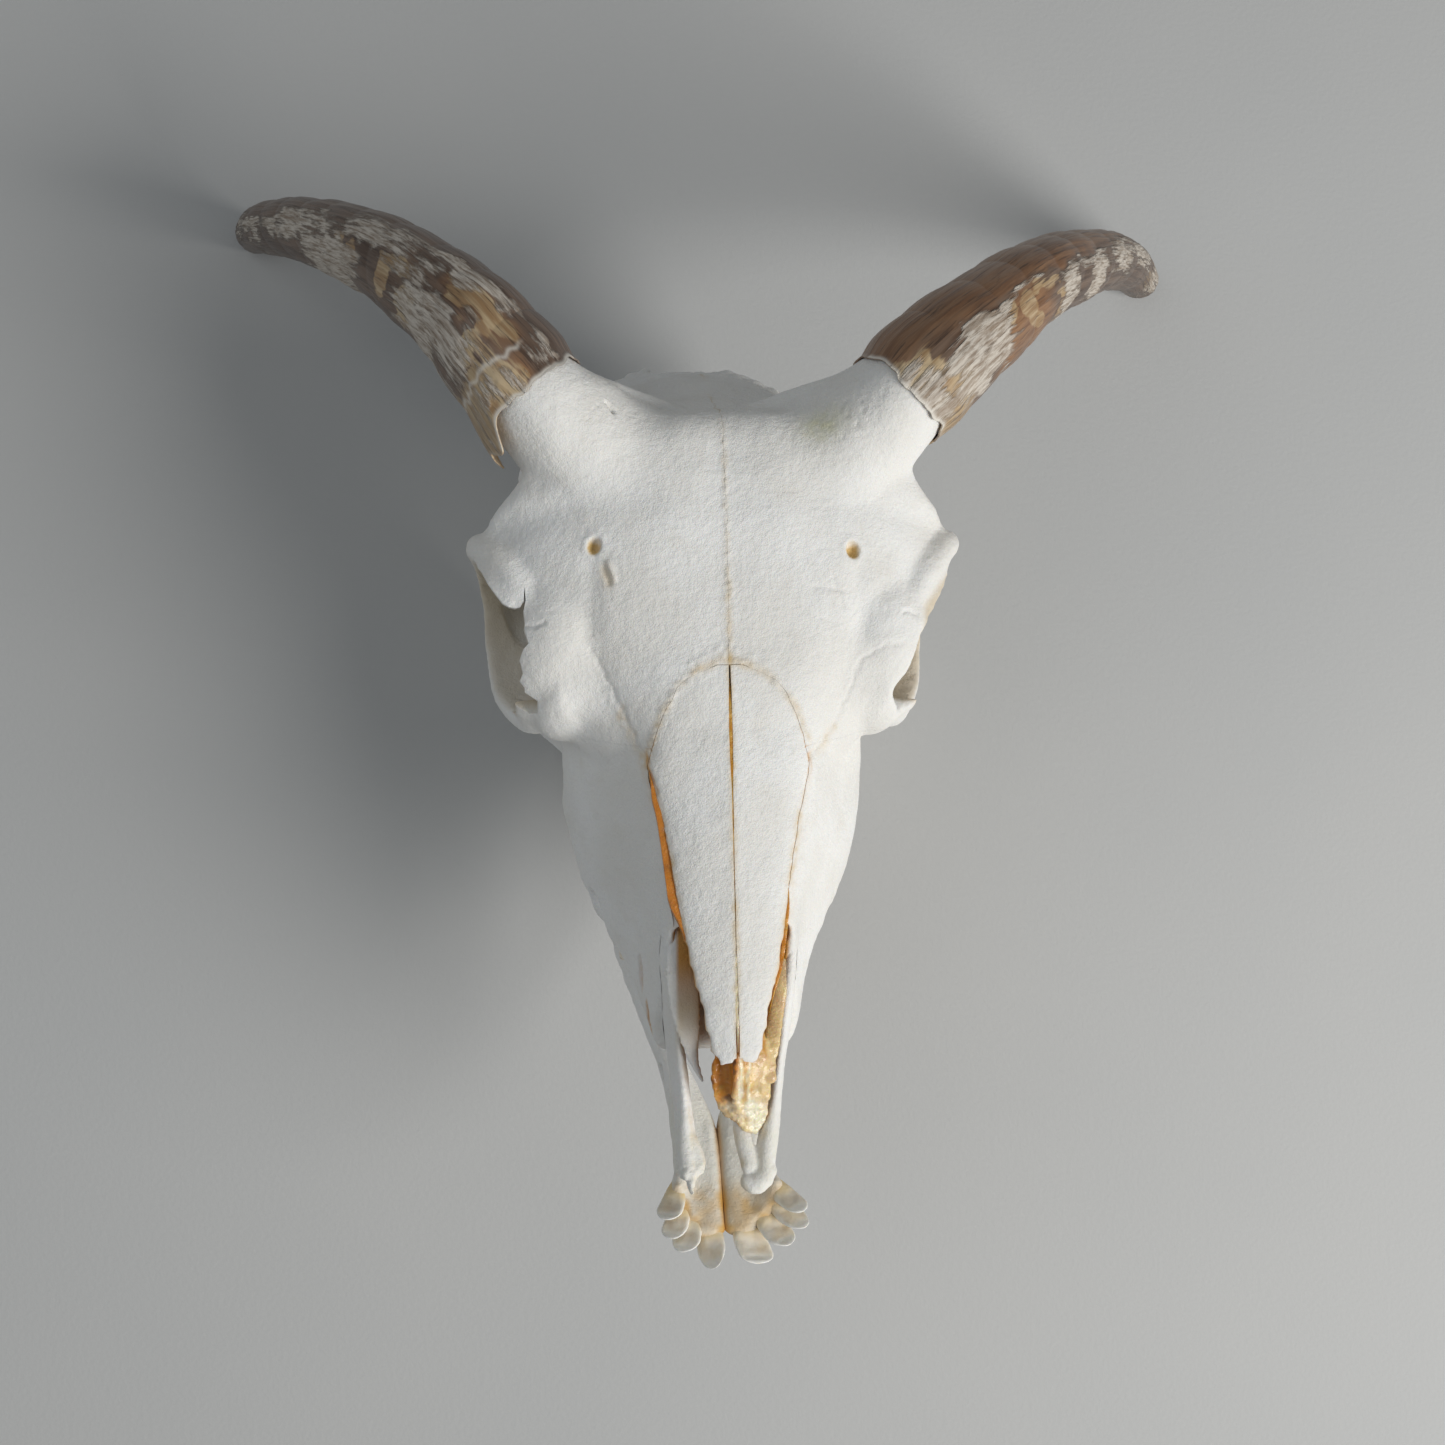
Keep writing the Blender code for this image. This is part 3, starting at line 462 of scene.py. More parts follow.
def mound(*axes):
    """Bell-shaped mound, from the values, its middle and its half-size along each axis."""
    return np.exp(-sum(((values - middle) / half) ** 2 for values, middle, half in axes))


def braincase_section(row):
    crown, roof_w, side_w, side_h, base_w, base_h = row
    rise = crown - side_h
    return mirrored_outline([
        (0, crown), (0.8 * roof_w, crown - 0.08 * rise),
        (0.45 * roof_w + 0.55 * side_w, crown - 0.42 * rise), (side_w, side_h),
        (0.4 * side_w + 0.6 * base_w, 0.3 * side_h + 0.7 * base_h),
        (0.8 * base_w, base_h), (0, base_h - 1)])


def shield_section(row):
    crown, width, fall, edge = row
    return mirrored_outline([
        (0, crown), (0.5 * width, crown - 0.12 * fall), (0.82 * width, crown - 0.5 * fall),
        (width, crown - fall), (0.97 * width, crown - fall - edge),
        (0.72 * width, crown - 0.6 * fall - edge - 3), (0.4 * width, crown - 24), (0, crown - 30)])


def face_section(row):
    crown, roof_w, cheek_w, cheek_h, gum_w, gum_h, palate = row
    return mirrored_outline([
        (0, crown), (0.75 * roof_w, crown - 1.5), (roof_w + 2, crown - 7),
        (0.45 * roof_w + 0.55 * cheek_w, 0.5 * crown + 0.5 * cheek_h), (cheek_w, cheek_h),
        (gum_w, gum_h), (0.72 * gum_w, gum_h + 0.5), (0.55 * gum_w, palate), (0, palate + 1)])


def hollow_section(row):
    roof, roof_w, floor_w, floor = row
    return mirrored_outline([
        (0, roof), (0.8 * roof_w, roof - 1), (roof_w, 0.65 * roof + 0.35 * floor),
        (floor_w, 0.2 * roof + 0.8 * floor), (0.6 * floor_w, floor), (0, floor)])


# Left horn's axis in the rest pose, as (x, y back, z), and its half-sizes across and deep.
HORN_AXIS = (
    (44.5, 79.0, 121.0), (54.3, 89.7, 119.0), (64.0, 99.5, 113.5), (83.6, 116.0, 95.0),
    (107.0, 129.5, 62.0), (123.5, 136.3, 30.0), (132.3, 138.5, 6.6),
)
HORN_SIZES = (
    (15.4, 19.4), (14.2, 17.6), (12.9, 15.8), (10.8, 13.0), (8.4, 10.2), (6.7, 7.8), (5.4, 6.0),
)
HORN_DRIFT = (12.0, -6.0)
CORE_ROOT = ((24.0, 72.0, 70.0), (32.0, 62.5, 82.0))
CORE_ROOT_SIZES = ((17.0, 17.0), (15.6, 17.0))
SHEATH_WALL, CORE_PLAY = 1.7, 0.4
BOSS_SPREAD = 1.2


def horn_axis(side):
    """One horn's axis in the palate frame. The two differ by a drift that grows to the tips."""
    last = len(HORN_AXIS) - 1
    drift = [(k / last) ** 1.5 for k in range(last + 1)]
    return [from_rest((side * x + d * HORN_DRIFT[0], y + side * d * HORN_DRIFT[1], z))
            for d, (x, y, z) in zip(drift, HORN_AXIS)]


def horn_boss(side):
    """Bone that swells round the horn's core, from inside the forehead into the sheath."""
    axis = [(side * x, s, h) for x, s, h in CORE_ROOT] + horn_axis(side)[:2]
    sizes = [(a + BOSS_SPREAD, b + BOSS_SPREAD) for a, b in CORE_ROOT_SIZES]
    play = SHEATH_WALL + CORE_PLAY
    sizes += [(a - play, b - play) for a, b in HORN_SIZES[:2]]
    return tube("horn_boss", axis, sizes, steps=24, count=40, up=rest_up)


# Nasal bones along the ridge: s, half-width.
NASAL_WIDTHS = (
    (118.6, 3.0), (121.0, 9.6), (126.0, 14.6), (132.0, 18.0), (138.0, 19.7), (143.0, 18.5),
    (148.0, 17.0), (158.0, 15.0), (170.0, 13.0), (180.0, 11.4), (191.0, 8.7),
    (198.0, 7.4), (201.4, 6.5), (203.0, 5.4), (203.9, 4.2), (204.4, 2.8),
)
NASAL_RIDGE = ((118.0, 72.6), (138.0, 63.4), (160.0, 52.6), (182.0, 41.6), (203.4, 30.6))
NASAL_THICKNESS = 2.3
NASAL_SLOPE, NASAL_ROLL = 0.16, 2.2


def opened(s_at):
    """How far the fissure beside the right nasal bone has opened, from 0 to 1."""
    return np.clip((s_at - 138) / 30, 0, 1)


def nasal_strip(side, spread=0.0, above=0.0, fissure=0.0, rows=150, columns=12):
    """One nasal bone, a domed strip; spread out all round it is the bed it lies in."""
    s_at = np.linspace(NASAL_WIDTHS[0][0], NASAL_WIDTHS[-1][0], rows)
    ridge = read_off(NASAL_RIDGE, s_at)
    reach = np.maximum(read_off(NASAL_WIDTHS, s_at), 0.6)
    along = np.stack([s_at * 0 + 7 * side, s_at, s_at * 0], axis=1)
    ragged = lumpy(along, (0.3, 3.1, 21), (0.16, 1.3, 22)) * ramp(s_at, 119, 124)
    ragged *= 1 - 0.75 * ramp(s_at, 188, 198)
    slit = 0.06 + 0.34 * bump_of(s_at - 133, 12) + 0.05 * (1 + lumps(along * (0, 1, 0), 2.4, 23))
    slit = slit + 0.35 * ramp(s_at, 174, 198) + 1.0 * ramp(s_at, 202.8, 204.6)
    inner = -spread + 0 * s_at if spread else slit
    wide = reach + ragged + spread + fissure * opened(s_at)
    across = inner[:, None] + (wide - inner)[:, None] * np.linspace(0, 1, columns)
    far = np.minimum(np.abs(across) / reach[:, None], 1.15)
    fall = NASAL_SLOPE * np.abs(across) + NASAL_ROLL * far ** 4 * (reach[:, None] / 18)
    slim = NASAL_THICKNESS + spread - (0 if spread else 1.1) * ramp(s_at, 172, 203)
    reach_s = np.repeat(s_at[:, None], columns, axis=1)
    reach_s[0] -= 2 * spread
    reach_s[-1] += 3 * spread
    top = np.stack([side * across, reach_s, ridge[:, None] - fall + above], axis=-1)
    low = np.stack([side * across, reach_s, ridge[:, None] - fall - slim[:, None]], axis=-1)
    return solid("nasal", np.concatenate([top, low[:, ::-1]], axis=1))


pieces = [
    lofted("braincase_form", BRAINCASE, braincase_section, 40, 48),
    lofted("shield_form", SHIELD, shield_section, 60, 56),
    lofted("face_form", FACE, face_section, 44, 56),
    egg("occiput", (0, 14, 34), (26, 9, 17), lean=-25),
    egg("brain_dome", (0, 46, 48), (32, 26, 32), lean=-28),
    tube("brow_lobe", [(-56.8, 85.5, 67.5), (-55.2, 92.0, 69.5), (-50.5, 97.5, 70.0)],
         [(3.0, 2.4), (4.2, 2.4), (4.0, 2.4)]),
]
paired = [
    hoop("orbit_rim", ORBIT_RIM, ORBIT_RIM_RADIUS),
    egg("orbit_cup", (39, 98, 50), (19.2, 23.0, 25)),
    egg("tear_bone", (38, 116, 50), (9, 8, 14)),
    tube("cheek", [(49, 95, 28), (45, 100.5, 26), (38.5, 106, 24), (31, 113, 22)],
         [(4.5, 5.0), (5.0, 7.5), (6.0, 9.5), (6, 9)]),
    tube("arch", [(51.5, 88, 31), (51.6, 76, 34), (49.4, 64, 37.5), (44.6, 53, 42.5),
                  (38, 46, 44.5), (28, 43, 43)],
         [(2.4, 5.6), (2.2, 5.0), (2.1, 4.4), (3.0, 4.0), (5, 4.5), (6, 5)]),
    egg("jaw_socket", (40, 46, 45), (8.4, 8, 5)),
    egg("orbit_floor", (42, 98, 26.5), (11, 12, 5)),
    egg("condyle", (11.5, 7, 24), (8, 9, 11), lean=20),
    egg("bulla", (20, 30, 9), (7.5, 12, 9)),
    tube("ear_tube", [(24, 34, 26), (31, 34, 28), (35.5, 34.5, 29.2)],
         [(5, 5), (5, 5), (4.6, 4.6)]),
    tube("paroccipital", [(25, 15, 32), (26, 12.5, 14), (24, 13, -8)],
         [(7, 5), (5, 3.8), (2.4, 2.4)], up=(0, 1, 0)),
    tube("nuchal_line", [(0, 17.5, 47.5), (12, 16, 45.6), (23, 15.5, 39.5), (28.4, 16, 30)],
         [(2.2, 2.4), (2.2, 2.4), (2.4, 2.6), (2.4, 2.6)]),
    tube("temple_line", [(29, 17, 34), (31, 29, 44), (30, 42, 60), (30, 54, 73)],
         [(1.6, 1.6), (1.6, 1.8), (1.6, 1.8), (1.6, 1.6)]),
    tube("pterygoid", [(11.5, 96, 9), (11, 84, 8), (10.5, 74, 7)],
         [(1.6, 8), (1.6, 7.5), (1.6, 5.5)]),
    egg("tooth_bed", (24.5, 101, 10), (8.5, 17, 13)),
    tube("poll_ridge", [(10, 53.5, 84), (21, 51, 85.5), (31, 52, 90)], [(3, 3), (4, 4), (5, 6)]),
    egg("horn_foot", (25, 66, 84.5), (20, 15, 11)),
]
for piece in paired:
    pieces += both(piece)
pieces += [horn_boss(side) for side in (1, -1)]
hollows = both(egg("orbit_space", ORBIT_CENTRE, ORBIT_RADII, segments=48))
hollows += both(egg("temporal_space", (44, 72, 42), (9.5, 22, 21)))
hollows += both(tube("ear_hole", [(46, 35.5, 31.0), (27, 34, 27)], [(2.6, 2.6), (2.0, 2.0)]))
hollows += [
    lofted("nose_space", NOSE_HOLLOW, hollow_section, 30, 48),
    prism("nose_mouth", *([(x, s, h) for s, h in NOSE_MOUTH] for x in (-30, 30))),
    tube("great_foramen", [(0, 30, 31), (0, -8, 33)], [(8, 8.5), (9.5, 10)],
         domes=(True, False)),
    egg("choana", (0, 85, 5), (8.5, 16, 11)),
    egg("palate_vault", (0, 135, -3), (14, 50, 8)),
]
# Edges cut straight down as the skull lies are given as (x, s) at this height. The left
# orbit's roof ends short of its lower rim in front.
EDGE_H = 64.0
ROOF_NOTCH = (
    (52.0, 102.6), (49.2, 104.6), (48.2, 107.0), (47.4, 110.5), (45.6, 115.4), (43.2, 119.2),
    (41.2, 121.6), (42.6, 125.0), (47.0, 129.0), (58.0, 130.0), (58.0, 102.6),
)


def straight_down(name, edge, top, bottom, lean=0.0):
    """Cutter with the edge's outline, from one height to another, leaning out if asked."""
    steepness = rest_up[1] / rest_up[2]
    return prism(name, *([(x + out, s + steepness * (h - EDGE_H), h) for x, s in edge]
                         for h, out in ((top, 0.0), (bottom, lean))))


hollows.append(straight_down("roof_notch", ROOF_NOTCH, 78, 49, lean=1.0))


def horn_foot_blend(x, s, h):
    """Where the forehead runs up into the horn's core."""
    near = off_middle((np.abs(x), 27, 13), (s, 66, 17), (h, 93, 17))
    return (1 - ramp(near, 0.75, 1.25)) * ramp(s * rest_front[1] + h * rest_front[2], 2.0, 8.0)


def brow_blend(x, s, h):
    """Where the forehead runs down over the orbits' front edge into the face."""
    near = off_middle((np.abs(x), 28, 11), (s, 122, 17), (h, 64, 12))
    return 1 - ramp(near, 0.7, 1.2)


roofs = both(tube("brow_edge", [(56.2, 82.0, 66.6), (53.2, 90.0, 69.0), (49.0, 98.0, 68.2),
                                (43.6, 106.0, 64.4)],
                  [(3.6, 2.4), (4.6, 2.6), (4.8, 2.8), (4.4, 3.0)], up=rest_up))
roofs += both(tube("orbit_shelf", [(48.4, 95.0, 30.5), (48.6, 86.0, 31.0), (49.4, 75.0, 33.5)],
                   [(4.2, 2.0), (4.0, 1.8), (2.6, 1.6)]))
roofs += [nasal_strip(side, rows=60, columns=8) for side in (1, -1)]
skull = fused([carved(fused(pieces), hollows)] + roofs)
skull = grown_over(skull, CRANIUM_GRAIN, 6, 1, ((horn_foot_blend, 160), (brow_blend, 160)))


# Fine relief of the cranium: pits, channels, seams and cracks, as (x, s) lines seen from above.
# They grew or were torn in the bone, and are sunk into its skin or stand out from it.
SUPRAORBITAL_PITS = ((-31.7, 91.0, 1.75), (31.2, 92.5, 1.8))
PIT_SQUEEZE = 0.94
LIPPED_SLIT = ((-29.4, 96.0), (-28.2, 99.0))
BROW_CHANNEL = ((-32.4, 94.0), (-32.9, 102.1), (-33.0, 109.9), (-31.4, 114.9), (-27.1, 123.9),
                (-21.6, 134.1))
TEAR_SEAM = ((-33.0, 112.0), (-30.2, 116.0), (-25.9, 124.2), (-21.0, 134.0), (-18.0, 143.8))
LEFT_TEAR_SEAM = ((43.5, 111.0), (37.0, 112.6), (33.0, 114.6), (31.4, 119.0), (27.0, 127.0),
                  (20.0, 136.0))
RIGHT_CRACK = ((-50.0, 105.4), (-46.4, 106.0), (-44.0, 106.2))
LEFT_CRACK = ((44.0, 104.6), (47.6, 104.0))
POLL_SLIT = ((-28.4, 61.6), (-26.8, 63.2))
SCRATCHES = (((21.0, 101.2), (30.0, 101.4)), ((22.6, 107.4), (26.6, 108.4)),
             ((26.2, 98.8), (28.4, 104.6)))
FRONTONASAL_SEAM = ((-20.0, 137.0), (-17.4, 130.6), (-14.8, 126.0), (-9.5, 120.9),
                    (-0.6, 117.6), (8.6, 120.6), (15.2, 126.2), (19.2, 132.6))
CHEEK_PIT = (152.0, 12.5)
ROOT_SPACING = 7.6
# Tears by the seam of the right premaxilla: s, h, half-length, half-depth.
MUZZLE_TEARS = ((174.0, 15.0, 4.0, 1.5), (183.5, 9.6, 3.0, 1.2))


def wandering(places, sway):
    """The x and s of each place, swayed to and fro as a suture runs."""
    return (places[:, 0] + sway * lumps(places, 1.7, 5),
            places[:, 1] + sway * lumps(places, 1.9, 6))


def off_pit(x, s, pit):
    """Distance from each place to the middle of a pit."""
    return np.hypot(x - pit[0], (s - pit[1]) * PIT_SQUEEZE)


def off_tear(s, h, middle_s, middle_h, long, deep):
    """Distance from each place to the middle of a slanting tear, in its half-sizes."""
    return np.hypot((s - middle_s) / long, (h - middle_h + 0.9 * (s - middle_s)) / deep)


places, ways = places_of(skull.data)
x, s, h = places.T
aside = np.abs(x)
on_top = ramp(ways @ rest_up, 0.3, 0.6)
push = lumpy(places, (0.30, 13.0, 1), (0.08, 5.0, 2), (0.035, 2.1, 3), (0.07, 1.1, 4))
for pit in SUPRAORBITAL_PITS:
    away, radius = off_pit(x, s, pit), pit[2]
    push -= on_top * (1.9 * (1 - ramp(away, radius * 0.4, radius * 1.1))
                      - 0.25 * bump_of(away - radius * 1.3, 0.9))
push -= on_top * 0.9 * bump_of(off_path(x, s, LIPPED_SLIT), 0.75)
push += on_top * 0.6 * bump_of(off_path(x - 0.9, s + 0.5, LIPPED_SLIT), 0.8)
for mirror, depth in ((1, 0.55), (-1, 0.4)):
    push -= on_top * depth * bump_of(off_path(x * mirror, s, BROW_CHANNEL), 2.6)
wavy_x, wavy_s = wandering(places, 0.45)
for path, depth in ((TEAR_SEAM, 0.35), (LEFT_TEAR_SEAM, 0.3), (RIGHT_CRACK, 0.5),
                    (LEFT_CRACK, 0.4), (POLL_SLIT, 1.4)):
    push -= on_top * depth * bump_of(off_path(wavy_x, wavy_s, path), 0.42)
# Beads of bone that stand behind the frontonasal suture, in two rows.
for path, back, height, width, seed in ((FRONTONASAL_SEAM, 0.9, 0.55, 0.9, 13),
                                        (FRONTONASAL_SEAM[3:6], 3.0, 0.35, 0.8, 14)):
    push += (on_top * height * bump_of(off_path(wavy_x, wavy_s + back, path), width)
             * np.abs(lumps(places, 1.4, seed)))
for scratch in SCRATCHES:
    push -= on_top * 0.22 * bump_of(off_path(wavy_x, s, scratch), 0.45)
# Low swelling between the orbits, the hollow before each orbit and the ridge below it.
push += on_top * 0.8 * mound((aside, 13, 9), (s, 80, 17))
push -= 1.5 * mound((aside, 33, 7), (s, 134, 11), (h, 42, 11))
push += 1.2 * mound((s, 128, 7), (h, 17, 5)) * ramp(aside, 26, 30)
# Root swells above the cheek teeth, and the pit on the cheek that lets the nerve out.
rooted = ramp(aside, 17, 21) * bump_of(h - 3, 6) * ramp(s, 92, 98) * (1 - ramp(s, 158, 164))
push += 0.45 * rooted * np.cos(s * 2 * math.pi / ROOT_SPACING)
away = np.hypot(s - CHEEK_PIT[0], h - CHEEK_PIT[1])
push -= 3.0 * (1 - ramp(away, 1.2, 2.9)) * ramp(aside, 20, 24)
# Grains of bone that stand along the midline suture.
grains = on_top * bump_of(wavy_x, 0.8) * ramp(s, 60, 66) * (1 - ramp(s, 112, 118))
push += (0.42 * grains * np.abs(lumps(places, 0.9, 11))
         * ramp(lumps(places * (0, 1, 0), 7.0, 12), -0.5, 0.2))
for tear in MUZZLE_TEARS:
    push -= 1.6 * (1 - ramp(off_tear(s, h, *tear), 0.5, 1.1)) * ramp(-x, 8, 11)
# Frayed rear edge of the forehead, and pores over the horn roots.
fray = bump_of(s - 57, 5) * on_top * bump_of(x + 1, 8)
push += (fray * 1.7 * np.abs(lumps(places * (1, 1.6, 1), 2.4, 7))
         * ramp(lumps(places, 5.0, 8), -0.3, 0.3))
spongy = on_top * mound((aside, 32, 8), (s, 66, 7))
push -= spongy * 0.22 * ramp(lumps(places, 1.2, 9), 0.3, 0.7)
# Rough lines where muscles held, on the nape.
nape = (1 - ramp(s, 14, 22)) * ramp(h, 10, 20)
push += nape * 0.5 * lumps(places * (1, 1, 0.4), 2.6, 10)
put_places(skull.data, places + ways * push[:, None])


# Sutures part the cranium into its bones. They wander where they show, and are hairlines
# elsewhere. The nasals and premaxillae lie in beds cut for them, and the roof of the right
# orbit is broken away along a ragged edge.
BROW_LINE = ((46.0, 74.5), (125.0, 41.0))
MAXILLA_LINE = ((136.0, 62.0), (91.0, 6.0))
CORONAL_S, CORONAL_X = 46.0, 33.5
CHEEK_X = 33.0
ARCH_S = 60.0
OCCIPUT_S = 20.0
REACH = 80.0
HAIRLINE = 0.05
# Broken edge of the right orbit's roof, cut straight down, as (x, s).
BROKEN_EDGE = (
    (-75.0, 84.0), (-60.2, 84.1), (-58.5, 86.6), (-56.9, 90.4), (-55.0, 93.6), (-53.6, 95.8),
    (-52.0, 96.8), (-50.6, 97.2), (-49.4, 96.9), (-48.6, 95.4), (-48.3, 91.3), (-48.1, 95.0),
    (-48.6, 98.0), (-48.3, 101.2), (-48.5, 103.0), (-48.1, 104.7), (-47.6, 106.9), (-48.8, 108.4),
    (-49.4, 110.1), (-49.8, 111.6), (-49.5, 112.6), (-49.0, 115.1), (-49.8, 117.1), (-48.6, 119.0),
    (-48.5, 120.2), (-45.4, 122.6), (-45.4, 126.0), (-75.0, 126.0),
)
FISSURE = 1.6
PREMAXILLA_AXIS = {
    1: ((15.4, 165.0, 38.0), (14.9, 177.0, 26.0), (13.4, 190.0, 11.4), (11.2, 204.0, 6.2),
        (8.8, 217.0, 3.2), (7.6, 224.0, 2.6)),
    -1: ((-15.4, 165.0, 38.0), (-14.9, 177.0, 26.0), (-13.0, 190.0, 11.4), (-11.6, 204.0, 6.2),
         (-11.2, 215.0, 3.8), (-10.8, 221.5, 3.0)),
}
PREMAXILLA_SIZES = ((1.5, 2.2), (2.0, 4.0), (2.2, 8.0), (2.2, 5.6), (2.6, 3.4), (2.4, 2.2))


def line_at(line, s_at):
    """Height of a midline cut at s."""
    (s0, h0), (s1, h1) = line
    return h0 + (h1 - h0) * (s_at - s0) / (s1 - s0)


def line_back(line, h_at):
    """The s of a midline cut at height h."""
    (s0, h0), (s1, h1) = line
    return s0 + (s1 - s0) * (h_at - h0) / (h1 - h0)


def knife(name, corners, width=HAIRLINE, wander=0.0, size=2.2, rows=1, columns=1, seed=0):
    """Thin cutting sheet between four corners, which may wander to and fro across itself."""
    a, b, c, d = (np.asarray(corner, float) for corner in corners)
    normal = np.cross(b - a, d - a)
    normal /= np.linalg.norm(normal)
    u = np.linspace(0, 1, columns + 1)[None, :, None]
    v = np.linspace(0, 1, rows + 1)[:, None, None]
    flat = ((1 - v) * ((1 - u) * a + u * b) + v * ((1 - u) * d + u * c)).reshape(-1, 3)
    if wander:
        shift = wander * (lumps(flat, size, seed) + 0.5 * lumps(flat, size / 2.3, seed + 1))
        flat = flat + normal * shift[:, None]
    index = np.arange(len(flat)).reshape(rows + 1, columns + 1)
    sheet = np.stack([index[:-1, :-1], index[:-1, 1:], index[1:, 1:], index[1:, :-1]], axis=-1)
    sheet = sheet.reshape(-1, 4)
    rim = np.concatenate([index[0, :-1], index[:-1, -1], index[-1, :0:-1], index[:0:-1, 0]])
    band = np.stack([rim, np.roll(rim, -1), np.roll(rim, -1) + len(flat), rim + len(flat)], axis=-1)
    places = np.vstack([flat - normal * width / 2, flat + normal * width / 2])
    return meshed(name, places, np.vstack([sheet, sheet + len(flat), band]).tolist())


def cross_knife(name, low_x, high_x, rear, front, width=HAIRLINE):
    """Cutting sheet that lies across the skull between two (s, h) lines."""
    corners = [(low_x, *rear), (high_x, *rear), (high_x, *front), (low_x, *front)]
    return knife(name, corners, width)


def side_knife(name, x, corners, **wander):
    """Cutting sheet that stands at x between four (s, h) corners."""
    return knife(name, [(x, *corner) for corner in corners], **wander)


def premaxilla_rod(side, spread=0.0):
    """Long bar of the premaxilla; spread out, it is the bed it lies in."""
    sizes = [(a + spread, b + spread) for a, b in PREMAXILLA_SIZES]
    return tube("premaxilla", PREMAXILLA_AXIS[side], sizes, steps=60, count=28)


def bone_at(middle):
    """Name of the bone that holds a palate-frame place."""
    a, b, c = middle
    hand = "left" if a > 0 else "right"
    if b > 130 and c > np.interp(b, *zip(*NASAL_RIDGE)) - 5 and abs(a) < 14:
        return "nasal_" + hand
    if b > line_back(MAXILLA_LINE, c):
        return "maxilla_" + hand
    if b > CORONAL_S and c > line_at(BROW_LINE, b):
        return "frontal_" + hand
    if b > ARCH_S:
        return "zygomatic_" + hand if abs(a) > CHEEK_X else "sphenoid"
    return "braincase" if b > OCCIPUT_S else "occipital"


beds = [carved(nasal_strip(side, 0.1, 14.0, fissure), [nasal_strip(side, 0.0, 16.0)])
        for side, fissure in ((1, 0.0), (-1, FISSURE))]
beds += [premaxilla_rod(side, 0.08) for side in (1, -1)]
bones = {}
skull, *loose = freed(carved(skull, beds))
for part in loose:
    middle = places_of(part.data)[0].mean(axis=0)
    name = "nasal_left" if middle[0] > 0 else "nasal_right"
    if name in bones or middle[1] < 140:
        bpy.data.objects.remove(part)
    else:
        bones[name] = part
slope, steep = ((h1 - h0) / (s1 - s0) for (s0, h0), (s1, h1) in (BROW_LINE, MAXILLA_LINE))
meet_s = (line_at(BROW_LINE, 0.0) - line_at(MAXILLA_LINE, 0.0)) / (steep - slope)
meet = (meet_s, line_at(BROW_LINE, meet_s))
brow_rear, flat_rear = line_at(BROW_LINE, CORONAL_S), line_at(BROW_LINE, 0.0)
low_h, high_h = -30.0, 120.0
low, high = ((line_back(MAXILLA_LINE, edge), edge) for edge in (low_h, high_h))
rear, front_s = (CORONAL_S, brow_rear), 150
arch_h = line_at(BROW_LINE, ARCH_S)
knives = [
    cross_knife("brow_cut", -REACH, REACH, rear, meet),
    cross_knife("coronal_cut", -CORONAL_X, CORONAL_X, rear, (CORONAL_S, high_h)),
    cross_knife("maxilla_cut", -REACH, REACH, low, high, 0.02),
    side_knife("forehead_midline", 0,
               ((CORONAL_S - 1, brow_rear - 2), (front_s, line_at(BROW_LINE, front_s) - 2),
                (front_s, high_h), (CORONAL_S - 1, high_h)),
               width=0.04, wander=0.42, rows=90, columns=240, seed=31),
    side_knife("face_midline", 0, (low, high, (240, high_h), (240, low_h))),
    straight_down("broken_roof", BROKEN_EDGE, 110, 50),
    cross_knife("arch_cut", -REACH, REACH, (ARCH_S, low_h), (ARCH_S, arch_h)),
    cross_knife("occiput_cut", -REACH, REACH, (OCCIPUT_S, low_h), (OCCIPUT_S, high_h)),
]
for side in (1, -1):
    knives += [
        side_knife("horn_root_cut", side * CORONAL_X,
                   ((0, brow_rear), rear, (CORONAL_S, high_h), (0, high_h))),
        cross_knife("horn_foot_cut", side * CORONAL_X, side * REACH, (0, flat_rear), rear),
        side_knife("cheek_cut", side * CHEEK_X, ((ARCH_S, low_h), low, meet, (ARCH_S, arch_h))),
    ]
for part in freed(carved(skull, knives)):
    name = bone_at(places_of(part.data)[0].mean(axis=0))
    if name in bones:
        bpy.data.objects.remove(part)
    else:
        bones[name] = part


